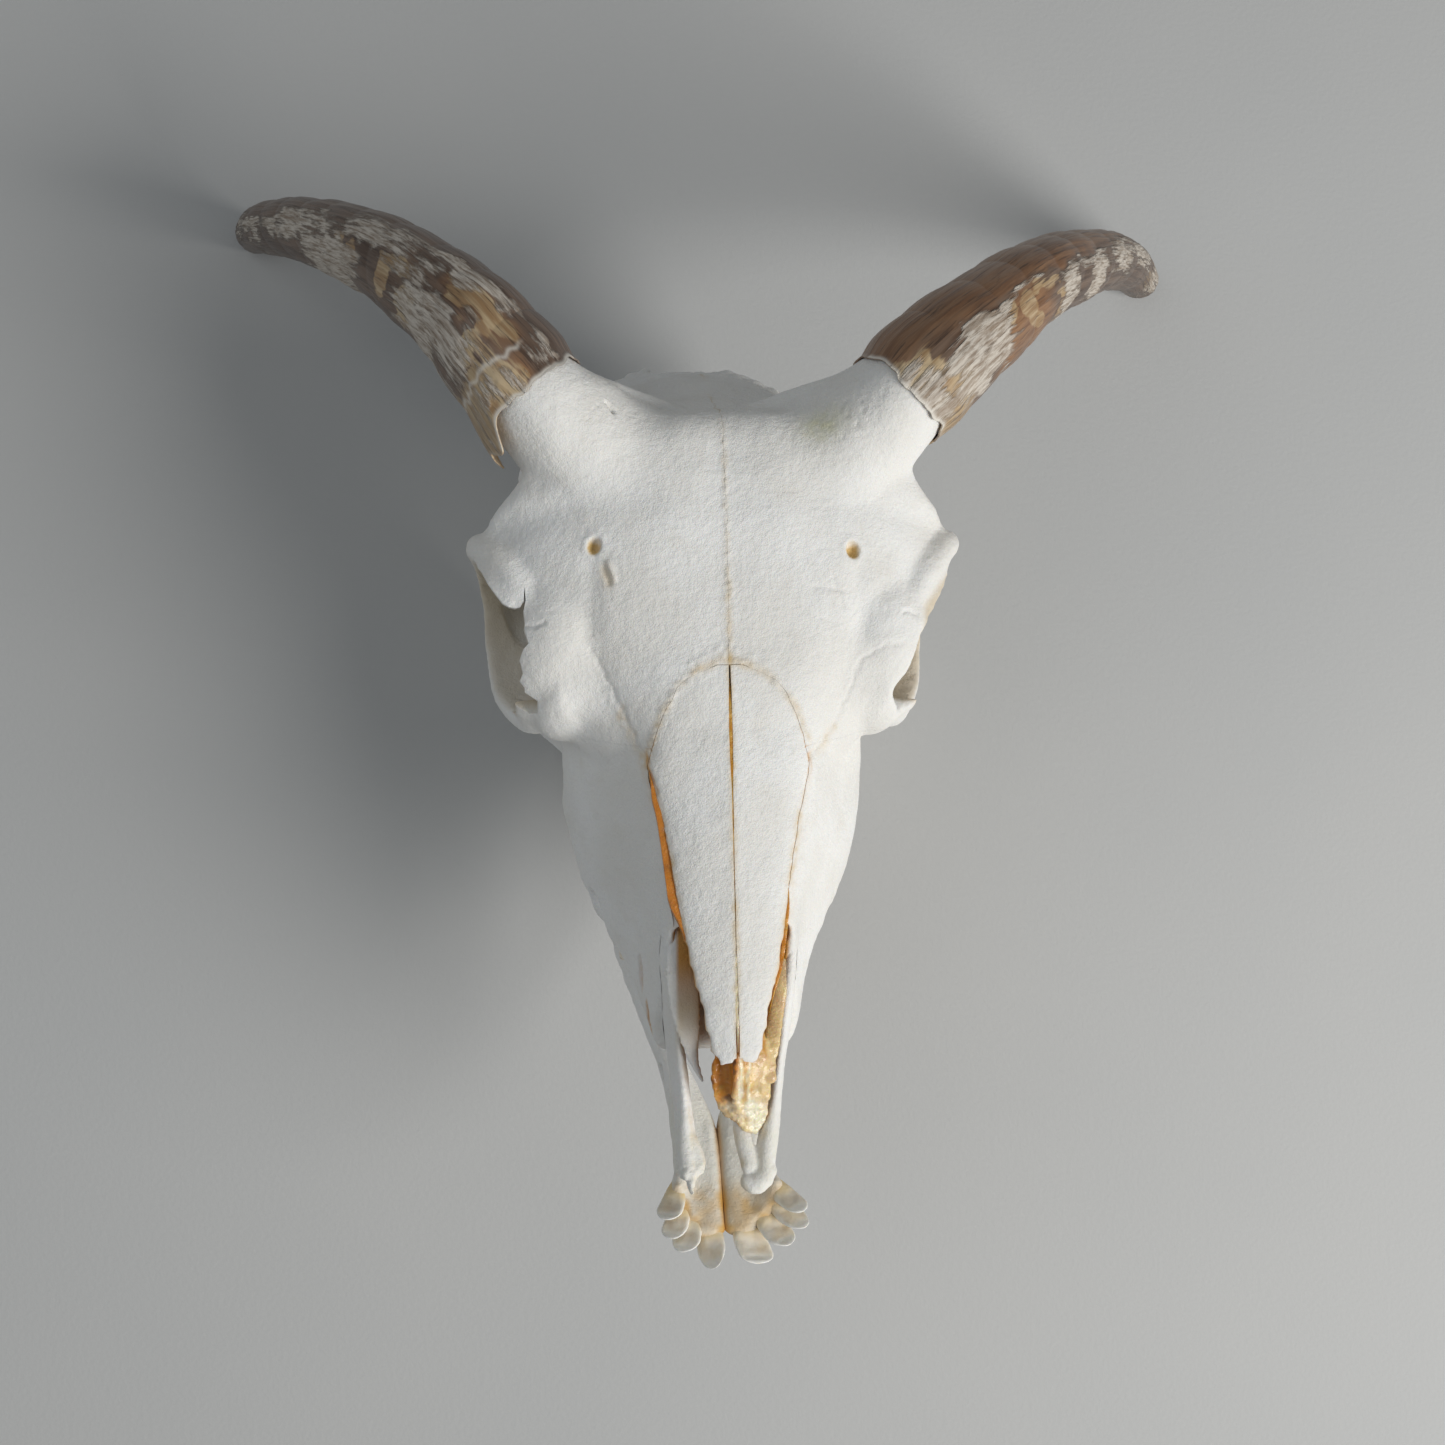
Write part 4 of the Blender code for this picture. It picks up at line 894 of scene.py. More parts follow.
class Wire:
    """One value, colour or vector on its way through a finish, with sums written as sums."""

    def __init__(self, tree, socket=None):
        self.tree, self.socket = tree, socket

    def node(self, kind, settings=(), inputs=(), output=0):
        made = self.tree.nodes.new("ShaderNode" + kind)
        for name, value in dict(settings).items():
            if name == "stops":
                stops = made.color_ramp.elements
                stops[0].position, stops[0].color = value[0][0], (*value[0][1], 1.0)
                stops[1].position, stops[1].color = value[-1][0], (*value[-1][1], 1.0)
                for place, colour in value[1:-1]:
                    stops.new(place).color = (*colour, 1.0)
            else:
                setattr(made, name, value)
        for name, value in dict(inputs).items():
            if isinstance(value, Wire):
                self.tree.links.new(value.socket, made.inputs[name])
            else:
                made.inputs[name].default_value = value
        return Wire(self.tree, made.outputs[output])

    def maths(self, operation, *values):
        return self.node("Math", {"operation": operation}, enumerate(values))

    def __add__(self, other):
        return self.maths("ADD", self, other)

    def __sub__(self, other):
        return self.maths("SUBTRACT", self, other)

    def __rsub__(self, other):
        return self.maths("SUBTRACT", other, self)

    def __mul__(self, other):
        return self.maths("MULTIPLY", self, other)

    __radd__, __rmul__ = __add__, __mul__

    def between(self, low, high):
        """0 below the low value, 1 above the high one, smooth between them."""
        return self.node("MapRange", {"interpolation_type": "SMOOTHSTEP"},
                         {"Value": self, "From Min": low, "From Max": high})

    def painted(self, under, over):
        """The colour under it, with the colour over it laid on by this much."""
        ends = [Wire(self.tree) if side is None else side for side in (under, over)]
        ends = [end if isinstance(end, Wire) else (*end, 1.0) for end in ends]
        return self.node("Mix", {"data_type": "RGBA"}, {0: self, 6: ends[0], 7: ends[1]}, 2)

    def noise(self, size, detail=2.0, roughness=0.55, stretch=(1.0, 1.0, 1.0), shift=0.0):
        """Cloudy value from 0 to 1, its lumps about the size in mm, on this vector in mm."""
        vector = self.node("VectorMath", {"operation": "MULTIPLY_ADD"},
                           {0: self, 1: stretch, 2: (shift, shift, shift)})
        return self.node("TexNoise", {}, {"Vector": vector, "Scale": 1.0 / size, "Detail": detail,
                                          "Roughness": roughness})

    def layer(self, name, output=2):
        """Amount painted on the mesh under the name."""
        return self.node("Attribute", {"attribute_name": name}, {}, output)


def finish(name, build, settings=()):
    """Material whose colour, roughness and relief come from the function."""
    material = bpy.data.materials.new(name)
    material.use_nodes = True
    tree = material.node_tree
    shader = tree.nodes["Principled BSDF"]
    for socket, value in dict(settings).items():
        shader.inputs[socket].default_value = value
    wire = Wire(tree)
    here = wire.node("TexCoord", output=3)
    here = here.node("VectorMath", {"operation": "SCALE"}, {0: here, "Scale": 1 / MM})
    colour, rough, relief, depth = build(wire, here)
    normal = wire.node("Bump", {}, {"Height": relief, "Distance": depth * MM, "Strength": 1.0})
    for socket, value in (("Base Color", colour), ("Roughness", rough), ("Normal", normal)):
        tree.links.new(value.socket, shader.inputs[socket])
    return material


def weathered_bone(wire, here):
    """Chalky bleached bone, stained yellow in its seams, with shade painted brown in its hollows
    and dark in its holes.
    """
    broad, patch = here.noise(26), here.noise(7, shift=9)
    fine, dust = here.noise(0.9, 3), here.noise(0.35, 2)
    colour = broad.between(0.35, 0.7).painted((0.80, 0.785, 0.745), (0.86, 0.855, 0.83))
    colour = (patch.between(0.5, 0.8) * 0.5).painted(colour, (0.76, 0.735, 0.68))
    colour = (fine.between(0.5, 0.75) * 0.22).painted(colour, (0.66, 0.64, 0.60))
    colour = wire.layer("green").painted(colour, (0.66, 0.64, 0.42))
    ochre = wire.layer("ochre") * (patch.between(0.25, 0.6) * 0.5 + 0.5)
    colour = ochre.painted(colour, (0.62, 0.42, 0.15))
    # Brown painted as shade, with the warm reflected light in the orbits' bowls, and as shade
    # beside the jaw's teeth.
    colour = wire.layer("umber").painted(colour, (0.56, 0.47, 0.33))
    amber = dust.painted((0.72, 0.36, 0.06), (0.52, 0.22, 0.03))
    colour = wire.layer("amber").painted(colour, amber)
    # Near-black painted shade in the great foramen and in the jaw's nerve pits.
    colour = wire.layer("dark").painted(colour, (0.10, 0.07, 0.045))
    return colour, 0.62 + 0.2 * fine, fine * 0.7 + dust * 0.45, 0.32


bone = finish("weathered_bone", weathered_bone, {
    "Subsurface Weight": 0.06, "Subsurface Radius": (0.9, 0.6, 0.35),
    "Subsurface Scale": 0.0025, "Specular IOR Level": 0.32})
# Inner walls of the nose, from above: s, half-width.
NOSE_WALLS = ((146, 14.6), (176, 13.9), (205, 14.6))
SHARP_ANGLE = math.radians(48)
FLOOR_GAP = 0.00005


def lay(mesh, **layers):
    """Paint each layer's amounts on the vertices of the mesh."""
    for name, amounts in layers.items():
        layer = mesh.attributes.new(name, "FLOAT", "POINT")
        layer.data.foreach_set("value", np.clip(amounts, 0, 1).astype(np.float32))


def stained(part):
    """Lay the stains of the seams, pits and nose on a bone of the cranium, and the shade painted
    into its orbits, temples and great foramen.
    """
    places, ways = places_of(part.data)
    x, s, h = places.T
    aside = np.abs(x)
    up = ways @ rest_up
    above = ramp(up, 0.1, 0.5)
    mottle = 0.5 + 0.5 * lumps(places, 1.5, 41)
    wavy_x, wavy_s = wandering(places, 0.4)
    ochre = (0.8 * bump_of(wavy_x, 0.75) * ramp(s, 58, 72) * (0.42 + 0.4 * ramp(s, 92, 112))
             * (0.5 + 0.5 * mottle))
    ochre += (0.5 * bump_of(off_path(wavy_x, wavy_s + 0.6, FRONTONASAL_SEAM), 1.1)
              * (0.3 + 0.7 * mottle))
    for path, amount in ((TEAR_SEAM[2:], 0.6), (LEFT_TEAR_SEAM[4:], 0.4)):
        ochre += amount * bump_of(off_path(wavy_x, wavy_s, path), 0.8) * mottle
    for pit in SUPRAORBITAL_PITS:
        sunk = 1 - ramp(off_pit(x, s, pit), pit[2] * 0.7, pit[2] * 1.15)
        ochre += 0.95 * sunk * ramp(h, 70, 74)
    ochre += 0.35 * bump_of(off_path(x, s, LIPPED_SLIT), 1.3) * above
    edge = np.abs(aside - np.interp(s, *zip(*NASAL_WIDTHS)))
    ochre += 0.8 * bump_of(edge, 0.9) * ramp(s, 136, 152) * ramp(h, 20, 24) * mottle
    # Amber on the inner walls of the nose and on the sides of the seams.
    roof, wall = np.interp(s, *zip(*NASAL_RIDGE)), np.interp(s, *zip(*NOSE_WALLS))
    within = (1 - ramp(aside, wall - 0.2, wall + 0.9)) * ramp(s, 138, 146)
    within *= 1 - ramp(h, roof - 1.9, roof - 1.1)
    inside = np.maximum(1 - ramp(up, 0.0, 0.35), 1 - ramp(h, roof - 9, roof - 7))
    amber = (within * inside * ramp(h, 6, 14) * (0.45 + 0.55 * ramp(h, 16, 30))
             * (1 - 0.6 * ramp(s, 178, 192)))
    seam = np.maximum(0.95 * bump_of(edge, 1.3), bump_of(x, 0.9))
    seam *= (1 - ramp(up, 0.3, 0.7)) * ramp(s, 122, 134)
    amber = np.maximum(amber, seam * ramp(h, roof - 12, roof - 8))
    for tear_s, tear_h, _, _ in MUZZLE_TEARS:
        away = off_tear(s, h, tear_s, tear_h, 3.8, 1.6)
        amber = np.maximum(amber, (1 - ramp(away, 0.5, 1.1)) * ramp(-x, 8, 11))
    # Painted shade: brown, with warm reflected light, in the orbits' bowls and the temples'
    # hollows, dark in the great foramen. Yellow in the left orbit's bowl, green on the left brow.
    bowl = off_middle(*zip((aside, s, h), ORBIT_CENTRE, ORBIT_RADII))
    ochre += 0.3 * (1 - ramp(bowl, 1.0, 1.15)) * (x > 0)
    ochre += 0.5 * (1 - above) * bump_of(x, 0.5) * ramp(h, 60, 66)
    umber = (1 - ramp(bowl, 1.0, 1.1)) * np.where(x > 0, 0.5, 0.45 + 0.4 * bump_of(s - 114, 5))
    umber += 0.5 * bump_of(s - 75, 12) * ramp(aside, 30, 34) * (1 - ramp(h, 60, 68))
    dark = 0.8 * (1 - ramp(np.hypot(x, h - 32), 9.5, 11.5)) * ramp(s, 3, 12)
    dark *= 1 - ramp(s, 34, 36)
    green = 0.9 * above * mound((x, 24, 5), (s, 66, 4)) * (0.3 + 0.7 * mottle)
    lay(part.data, ochre=ochre, amber=amber, umber=umber, dark=dark, green=green)


def placed(part, name, material, slot, *nodes):
    """Lay a finished piece with the skull and have it stand for its nodes."""
    part.name = name
    part.data.name = name
    part.data.transform(at_rest)
    places = numbers(part.data.vertices, "co")
    places[2::3] = np.maximum(places[2::3], sole + FLOOR_GAP)
    part.data.vertices.foreach_set("co", places)
    part.data.materials.clear()
    part.data.materials.append(material)
    part.data.shade_smooth()
    part.data.set_sharp_from_angle(angle=SHARP_ANGLE)
    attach(part, "root")
    if nodes:
        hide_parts(*nodes)


for name, part in bones.items():
    stained(part)
    placed(part, name + "_bone", bone, "bone", name)


# Upper cheek teeth: six on each side, sunk in the jaw bone, each of one, two or three columns
# with a worn crown where hard enamel ridges stand round darker crescents.
SIDES = ((1, "left"), (-1, "right"))
# Each tooth: s, x, length, width.
UPPER_TEETH = (
    (158.5, 20.6, 7.0, 8.0), (150.6, 22.6, 7.6, 9.0), (142.6, 23.8, 7.6, 10.2),
    (132.4, 24.6, 11.8, 11.4), (118.6, 24.6, 14.4, 11.8), (102.6, 23.4, 16.6, 11.0),
)
UPPER_CROWN, UPPER_ROOT = -8.6, 9.0
TOOTH_COUNT, TOOTH_ROWS = 64, 14
# Rings of a crown, inwards: part of the full size, depth below the worn level.
CROWN_RINGS = ((0.72, -0.25), (0.56, 0.9), (0.40, 0.2), (0.24, 1.1))


def cheek_tooth(place, crown, root, side):
    """Tooth between its sunk root and its worn crown, with waists between its columns."""
    s, x, length, width = place
    columns = 1 if length < 7.5 else 2 if length < 15 else 3
    angles = turns(TOOTH_COUNT)
    along = np.sign(np.cos(angles)) * np.abs(np.cos(angles)) ** 0.6
    waists = sum(bump_of(along - (2 * k / columns - 1), 0.16) for k in range(1, columns))
    out = np.sin(angles) * (1 - 0.2 * waists)
    rows = [(0.86 + 0.14 * math.sin(math.pi * min(t * 0.9, 1)) - 0.06 * t,
             root + (crown - root) * t) for t in np.linspace(0, 1, TOOTH_ROWS)]
    rows += [(scale, crown + np.sign(root - crown) * deep) for scale, deep in CROWN_RINGS]
    cusps = np.cos(2 * math.pi * columns * along)
    return solid("tooth", [
        np.stack([side * (x + scale * width / 2 * out), s + scale * length / 2 * along,
                  level + 0.35 * cusps * (abs(level - crown) < 1.5)], axis=1)
        for scale, level in rows])


def old_tooth(wire, here):
    """Ivory enamel with brown stain towards the necks and in the hollows of the crowns."""
    broad, fine = here.noise(5, 3), here.noise(0.5, 2, stretch=(1, 1, 0.3))
    colour = broad.between(0.4, 0.7).painted((0.84, 0.79, 0.68), (0.78, 0.69, 0.52))
    brown = broad.painted((0.40, 0.23, 0.09), (0.25, 0.13, 0.06))
    colour = wire.layer("brown").painted(colour, brown)
    gold = broad.painted((0.70, 0.44, 0.10), (0.84, 0.64, 0.28))
    colour = wire.layer("gold").painted(colour, gold)
    colour = wire.layer("rim").painted(colour, (0.88, 0.86, 0.80))
    return colour, 0.34 + 0.3 * wire.layer("brown") + 0.1 * fine, fine * 0.5 + broad * 0.4, 0.12


tooth = finish("old_tooth", old_tooth, {
    "Subsurface Weight": 0.08, "Subsurface Radius": (1.0, 0.7, 0.4), "Subsurface Scale": 0.002})


def joined(parts):
    """One object of several."""
    form = bmesh.new()
    for part in parts:
        form.from_mesh(part.data)
        bpy.data.objects.remove(part)
    return body_from("joined", form)


def worn_row(teeth, crown, root, side):
    """A row of cheek teeth, stained on their crowns and down to their necks."""
    row = joined([cheek_tooth(place, crown, root, side) for place in teeth])
    places, _ = places_of(row.data)
    level = (places[:, 2] - crown) / (root - crown)
    mottle = 0.5 + 0.5 * lumps(places, 2.0, 43)
    lay(row.data, brown=(np.where(level < 0.02, 0.2, 0) + 0.9 * bump_of(level + 0.05, 0.05)
                         + 0.6 * mottle * bump_of(level - 0.42, 0.16)),
        rim=bump_of(level - 0.015, 0.02))
    return row


for side, hand in SIDES:
    row = worn_row(UPPER_TEETH, UPPER_CROWN, UPPER_ROOT, side)
    placed(row, "upper_teeth_" + hand, tooth, "bone")


# Gristle dried in the seams of the nasal bones: amber ribbons of cartilage, just below the
# surface, between the two bones and along the torn outer edge of each.
def seam_ribbon(side, low_s, high_s):
    """Ribbon in the midline slit, or in the seam along one nasal bone."""
    s_at = np.linspace(low_s, high_s, 160)
    reach = read_off(NASAL_WIDTHS, s_at)
    half = 0.5 + (0.5 * FISSURE * opened(s_at) if side < 0 else 0 * s_at)
    half *= 0.1 + 0.9 * ramp(s_at, low_s, low_s + 8) * (1 - ramp(s_at, high_s - 10, high_s))
    middle = side * (reach + half - 0.35)
    drop = NASAL_SLOPE * np.abs(middle) + (NASAL_ROLL * (reach / 18) if side else 0) + 0.55
    rough = 0.25 * lumps(np.stack([0 * s_at, s_at, 0 * s_at], axis=1), 1.6, 68)
    return solid("ribbon", [
        [(m - w, a, t), (m, a, t + 0.15), (m + w, a, t), (m + w, a, t - 1.2), (m - w, a, t - 1.2)]
        for m, w, a, t in zip(middle, half, s_at, read_off(NASAL_RIDGE, s_at) - drop + rough)])


def dried_cartilage(wire, here):
    """Amber, half clear and horny, with darker spots and a cream streak along the middle."""
    broad, fine = here.noise(3.5, 3), here.noise(0.7, 3)
    colour = broad.between(0.35, 0.65).painted((0.56, 0.25, 0.02), (0.74, 0.47, 0.10))
    colour = (fine.between(0.55, 0.8) * 0.5).painted(colour, (0.80, 0.62, 0.26))
    colour = wire.layer("deep").painted(colour, (0.56, 0.185, 0.012))
    colour = wire.layer("spot").painted(colour, (0.12, 0.045, 0.01))
    colour = wire.layer("cream").painted(colour, (0.82, 0.74, 0.55))
    return colour, 0.2 + 0.35 * fine, broad * 0.6 + fine * 0.6, 0.35


cartilage = finish("dried_cartilage", dried_cartilage, {
    "Subsurface Weight": 0.25, "Subsurface Radius": (1.2, 0.6, 0.15),
    "Subsurface Scale": 0.003, "Coat Weight": 0.3})

seams = joined([seam_ribbon(0, 121, 201), seam_ribbon(1, 163, 192), seam_ribbon(-1, 138, 176)])
places, _ = places_of(seams.data)
x, s, _ = places.T
lay(seams.data, cream=0.75 * bump_of(x, 1.4) * ramp(s, 166, 182),
    spot=0.35 * ramp(lumps(places, 2.0, 70), 0.2, 0.8),
    deep=np.where(np.abs(x) < 4, 0.3, np.where(x < 0, 0.95, 0.6)))
placed(seams, "seam_gristle", cartilage, "cartilage")


# Premaxillae: two slim bars of bone that frame the nose and end the muzzle. The left one keeps
# the tongue that runs back along the palate; the right one has lost it and ends in a broken
# knob, with a torn plate of the nose's inner wall beside it.
PREMAXILLA_PARTS = {
    1: (
        ("palate_tongue", [(3.6, 195.0, 6.4), (3.0, 204.0, 6.0), (2.8, 212.0, 5.0),
                           (4.4, 221.0, 3.4)],
         [(0.9, 1.2), (1.8, 1.6), (2.2, 1.8), (2.4, 1.8)]),
        ("muzzle_end", [(8.4, 221.5, 2.8), (5.6, 225.0, 2.6), (3.4, 224.4, 2.6)],
         [(2.8, 2.2), (2.8, 2.0), (2.2, 1.8)]),
    ),
    -1: (
        ("knob", [(-9.8, 214.0, 4.6), (-8.6, 218.6, 3.8), (-8.8, 221.5, 3.2)],
         [(1.6, 2.2), (2.0, 1.6), (1.6, 1.1)]),
        ("knob_splinter", [(-9.6, 220.0, 3.0), (-10.2, 223.6, 2.6), (-10.6, 226.5, 2.4)],
         [(1.8, 1.4), (1.2, 1.0), (0.6, 0.6)]),
        ("inner_wall", [(-12.0, 170.0, 37.0), (-12.6, 177.0, 32.5), (-11.6, 185.0, 26.8),
                        (-10.4, 192.0, 21.6), (-9.4, 197.5, 17.4), (-7.2, 202.5, 14.6)],
         [(2.4, 0.8), (3.4, 0.8), (4.0, 0.8), (3.0, 0.8), (1.6, 0.7), (0.6, 0.5)]),
    ),
}

for side, hand in SIDES:
    parts = [premaxilla_rod(side)] + [tube(*shape) for shape in PREMAXILLA_PARTS[side]]
    part = grown_over(fused(parts), 0.5, 2)
    places, ways = places_of(part.data)
    push = 0.8 * lumpy(places, (0.2, 7.0, 51), (0.12, 2.6, 52), (0.06, 1.1, 53))
    put_places(part.data, places + ways * push[:, None])
    if side < 0:
        places, ways = places_of(part.data)
        broken = 0.5 * np.abs(lumps(places, 1.5, 54)) + 0.3 * lumps(places, 0.8, 55)
        put_places(part.data, places + ways * (broken * ramp(places[:, 1], 218, 222))[:, None])
    places, ways = places_of(part.data)
    x, s, h = places.T
    mottle = 0.5 + 0.5 * lumps(places, 2.0, 44)
    # Faces turned in towards the midline are painted yellow and amber, partly stain and partly the
    # shade on them and the light that comes through the thin bone.
    inward = ramp(-ways[:, 0] * side, 0.2, 0.8)
    wall = ramp(x, -13.8, -12.8) * ramp(h, 12.5, 13.5) if side < 0 else 0 * x
    lay(part.data,
        ochre=(0.45 * inward * ramp(s, 168, 182) * mottle + 0.3 * mottle * ramp(-h, -4, 0)
               + 0.5 * wall * bump_of(s - 188, 6)),
        amber=np.maximum(0.5 * inward * ramp(h, 12, 26) * mottle,
                         0.95 * wall * (1 - ramp(s, 177, 190))),
        umber=0 * x, dark=0 * x, green=0.25 * ramp(s, 205, 215) * mottle)
    placed(part, "premaxilla_" + hand + "_bone", bone, "bone", "premaxilla_" + hand)


# Partition of the nose: a thin upright plate of dried cartilage on the midline. Its front end
# has shrunk into an amber, horny flap that spreads under the tips of the nasal bones.
PARTITION_FOOT = ((142.0, 17.5), (158.0, 11.6), (176.0, 9.4), (196.0, 9.2), (209.0, 12.0))
PARTITION_HALF = 0.8
# Flap: s, left edge x, right edge x, height. Two ribs stand out along it, at these x.
FLAP = ((193.0, -2.6, 7.8, 26.6), (198.0, -4.4, 8.8, 25.2), (203.0, -5.4, 9.2, 22.0),
        (206.5, -5.2, 9.2, 18.0), (209.0, -3.4, 8.8, 14.2), (211.0, -0.6, 8.2, 11.4),
        (212.6, 1.8, 7.4, 9.6), (214.0, 3.4, 6.2, 8.4))
FLAP_RIBS = (1.4, 3.4)
FLAP_THICKNESS = 1.3

s_at = np.linspace(PARTITION_FOOT[0][0], PARTITION_FOOT[-1][0], 50)
foot = read_off(PARTITION_FOOT, s_at)
top = np.minimum(read_off(NASAL_RIDGE, s_at), 30.6 - 1.3 * (s_at - 203.4)) - NASAL_THICKNESS - 0.5
plate = [[(PARTITION_HALF, a, low), (PARTITION_HALF, a, high), (-PARTITION_HALF, a, high),
          (-PARTITION_HALF, a, low)] for a, low, high in zip(s_at, foot, top)]
rows = []
s_at = np.linspace(FLAP[0][0], FLAP[-1][0], 60)
for a, (left, right, level) in zip(s_at, read_off(FLAP, s_at)):
    across = np.linspace(left, right, 24)
    rib, low_rib = (across - rib for rib in FLAP_RIBS)
    sag = 2.6 * (rib / 6.5) ** 2 - 1.0 * bump_of(rib, 0.8) - 0.7 * bump_of(low_rib, 0.5)
    skin = list(zip(across, level - (sag - 2.2 * ramp(-across, 3.0, 5.4))))
    rows.append([(b, a, c) for b, c in skin] + [(b, a, c - FLAP_THICKNESS) for b, c in skin[::-1]])
veil = tube("veil", [(13.4, 171.0, 33.0), (13.4, 178.0, 28.6), (11.6, 187.0, 23.4),
                     (9.6, 196.0, 21.0), (8.8, 204.0, 18.0)],
            [(1.4, 0.7), (1.9, 0.7), (2.0, 0.7), (2.2, 0.7), (1.6, 0.7)])
septum = grown_over(fused([solid("plate", plate), solid("flap", rows), veil]), 0.45, 2)
places, ways = places_of(septum.data)
push = (lumpy(places, (0.4, 3.2, 61), (0.3, 1.3, 62))
        + 0.5 * np.abs(lumps(places, 1.1, 67)) * ramp(places[:, 1], 206, 212))
put_places(septum.data, places + ways * push[:, None] * ramp(places[:, 1], 192, 200)[:, None])
places, ways = places_of(septum.data)
x, s, h = places.T
rib, low_rib = (x - at_x - 0.5 * lumps(places, 3, seed) for at_x, seed in ((1.2, 63), (3.4, 64)))
froth = 0.5 + 0.5 * lumps(places, 1.3, 68)
cream = (bump_of(rib, 0.8) + 0.8 * bump_of(low_rib, 0.5)) * (1 - ramp(s, 207, 210))
cream = cream + 0.4 * ramp(x, 3.4, 5.4) + (0.35 + 0.5 * froth) * ramp(s, 206.5, 210)
cream += bump_of(np.hypot(x - 4.4, s - 209.6), 1.3)
cream *= ramp(ways @ rest_up, 0.1, 0.5) * np.maximum(ramp(s, 197, 201), ramp(x, 7, 9))
spots = ramp(lumpy(places, (1.0, 1.6, 65), (0.5, 0.8, 66)), 0.3, 0.9) * ramp(s, 197, 201)
lay(septum.data, cream=cream, deep=0.75 * (1 - ramp(x, -0.5, 1.5)) * (1 - ramp(s, 206.5, 209)),
    spot=spots * (0.15 + 0.6 * (1 - ramp(x, 0, 3))))
placed(septum, "nasal_partition", cartilage, "cartilage", "nasal_septum")


# Lower jaw: two mirrored halves of bone that meet at the chin. Each is a deep plate with an
# upright branch, a hooked muscle process and a low head that hinges under the cheek arch.
# Jaw body: s, upper edge, lower edge, x, half-thickness.
JAW_BODY = (
    (47, -12, -31, 39, 2.4),
    (55, -4, -44, 37.8, 2.9),
    (66, 2, -48.3, 35.6, 3.2),
    (78, 1, -48.0, 32.5, 3.8),
    (92, -9, -46, 28.8, 4.7),
    (105, -14, -43, 26.2, 5.2),
    (120, -17.2, -40, 23.8, 5.2),
    (135, -18.6, -37.5, 21.4, 5.0),
    (150, -19.4, -35, 18.8, 4.7),
    (164, -19.6, -33.4, 15.6, 4.1),
    (178, -20, -32, 12.0, 3.6),
    (190, -20, -31, 9.2, 3.7),
    (202, -19.5, -30, 7.2, 4.8),
    (214, -19.5, -28.2, 6.2, 5.6),
    (224, -20.5, -26.5, 6.4, 5.8),
)
# Jaw ramus: h, rear edge s, front edge s, x, half-thickness.
JAW_RAMUS = (
    (-36, 53, 84, 36.2, 3.2),
    (-18, 43.5, 88, 36.6, 2.9),
    (0, 41.5, 84, 37.6, 2.6),
    (18, 42, 78, 39, 2.4),
    (30, 42.5, 73, 40.4, 2.3),
)
# Each lower cheek tooth: s, x, length, width.
LOWER_TEETH = (
    (160.6, 16.6, 5.6, 5.0), (153.6, 18.2, 7.2, 6.0), (145.2, 19.8, 8.4, 6.8),
    (134.2, 21.6, 12.2, 7.6), (120.2, 23.6, 14.4, 7.9), (102.4, 25.6, 19.4, 7.6),
)
LOWER_CROWN, LOWER_ROOT = -9.0, -26.0
# Front teeth by side, from the middle outwards: root, tip, half-width of the blade, and the
# part of the way along where its end starts to close.
INCISORS = {
    1: (
        ((3.8, 221.0, -23.5), (7.8, 239.4, -18.8), 4.6, 0.84),
        ((6.6, 219.6, -23.2), (15.4, 235.4, -17.6), 3.9, 0.72),
        ((8.6, 217.2, -22.6), (19.8, 231.4, -16.4), 3.3, 0.74),
        ((9.8, 214.4, -21.6), (19.4, 227.8, -14.6), 3.1, 0.76),
    ),
    -1: (
        ((-3.6, 221.0, -23.5), (-4.0, 240.2, -18.8), 3.7, 0.56),
        ((-6.0, 219.6, -23.2), (-11.4, 235.8, -17.8), 3.5, 0.76),
        ((-8.0, 217.4, -22.6), (-14.4, 232.6, -16.8), 3.1, 0.76),
        ((-9.2, 214.0, -21.6), (-15.4, 228.2, -15.0), 3.2, 0.76),
    ),
}
INCISOR_ROWS, INCISOR_COUNT = 48, 48
CHIN_GAP = 0.12
CHIN_SIDE = ((190, -60), (250, -60), (250, 10), (190, 10))
CHEEK_NERVE_PIT = (186, -25)


def plate_section(row):
    """Rounded plate between two edges, about x."""
    top, bottom, x, half = row
    rim = 0.13 * (top - bottom)
    left = [(x + 0.8 * half, top - rim), (x + half, 0.5 * (top + bottom)),
            (x + 0.8 * half, bottom + rim)]
    return [(x, top)] + left + [(x, bottom)] + [(2 * x - a, b) for a, b in reversed(left)]


def tooth_socket(root, tip, blade):
    """Bone round an incisor's root, up to 0.38 of the way to its tip."""
    (x0, s0, h0), (x1, s1, h1) = root, tip
    lip = (0.62 * abs(x0) + 0.38 * abs(x1), 0.62 * s0 + 0.38 * s1, 0.62 * h0 + 0.38 * h1)
    return tube("tooth_socket", [(abs(x0), s0 - 3, h0 - 0.6), lip],
                [(0.62 * blade, 2.4), (0.66 * blade, 2.3)], steps=8, count=16)


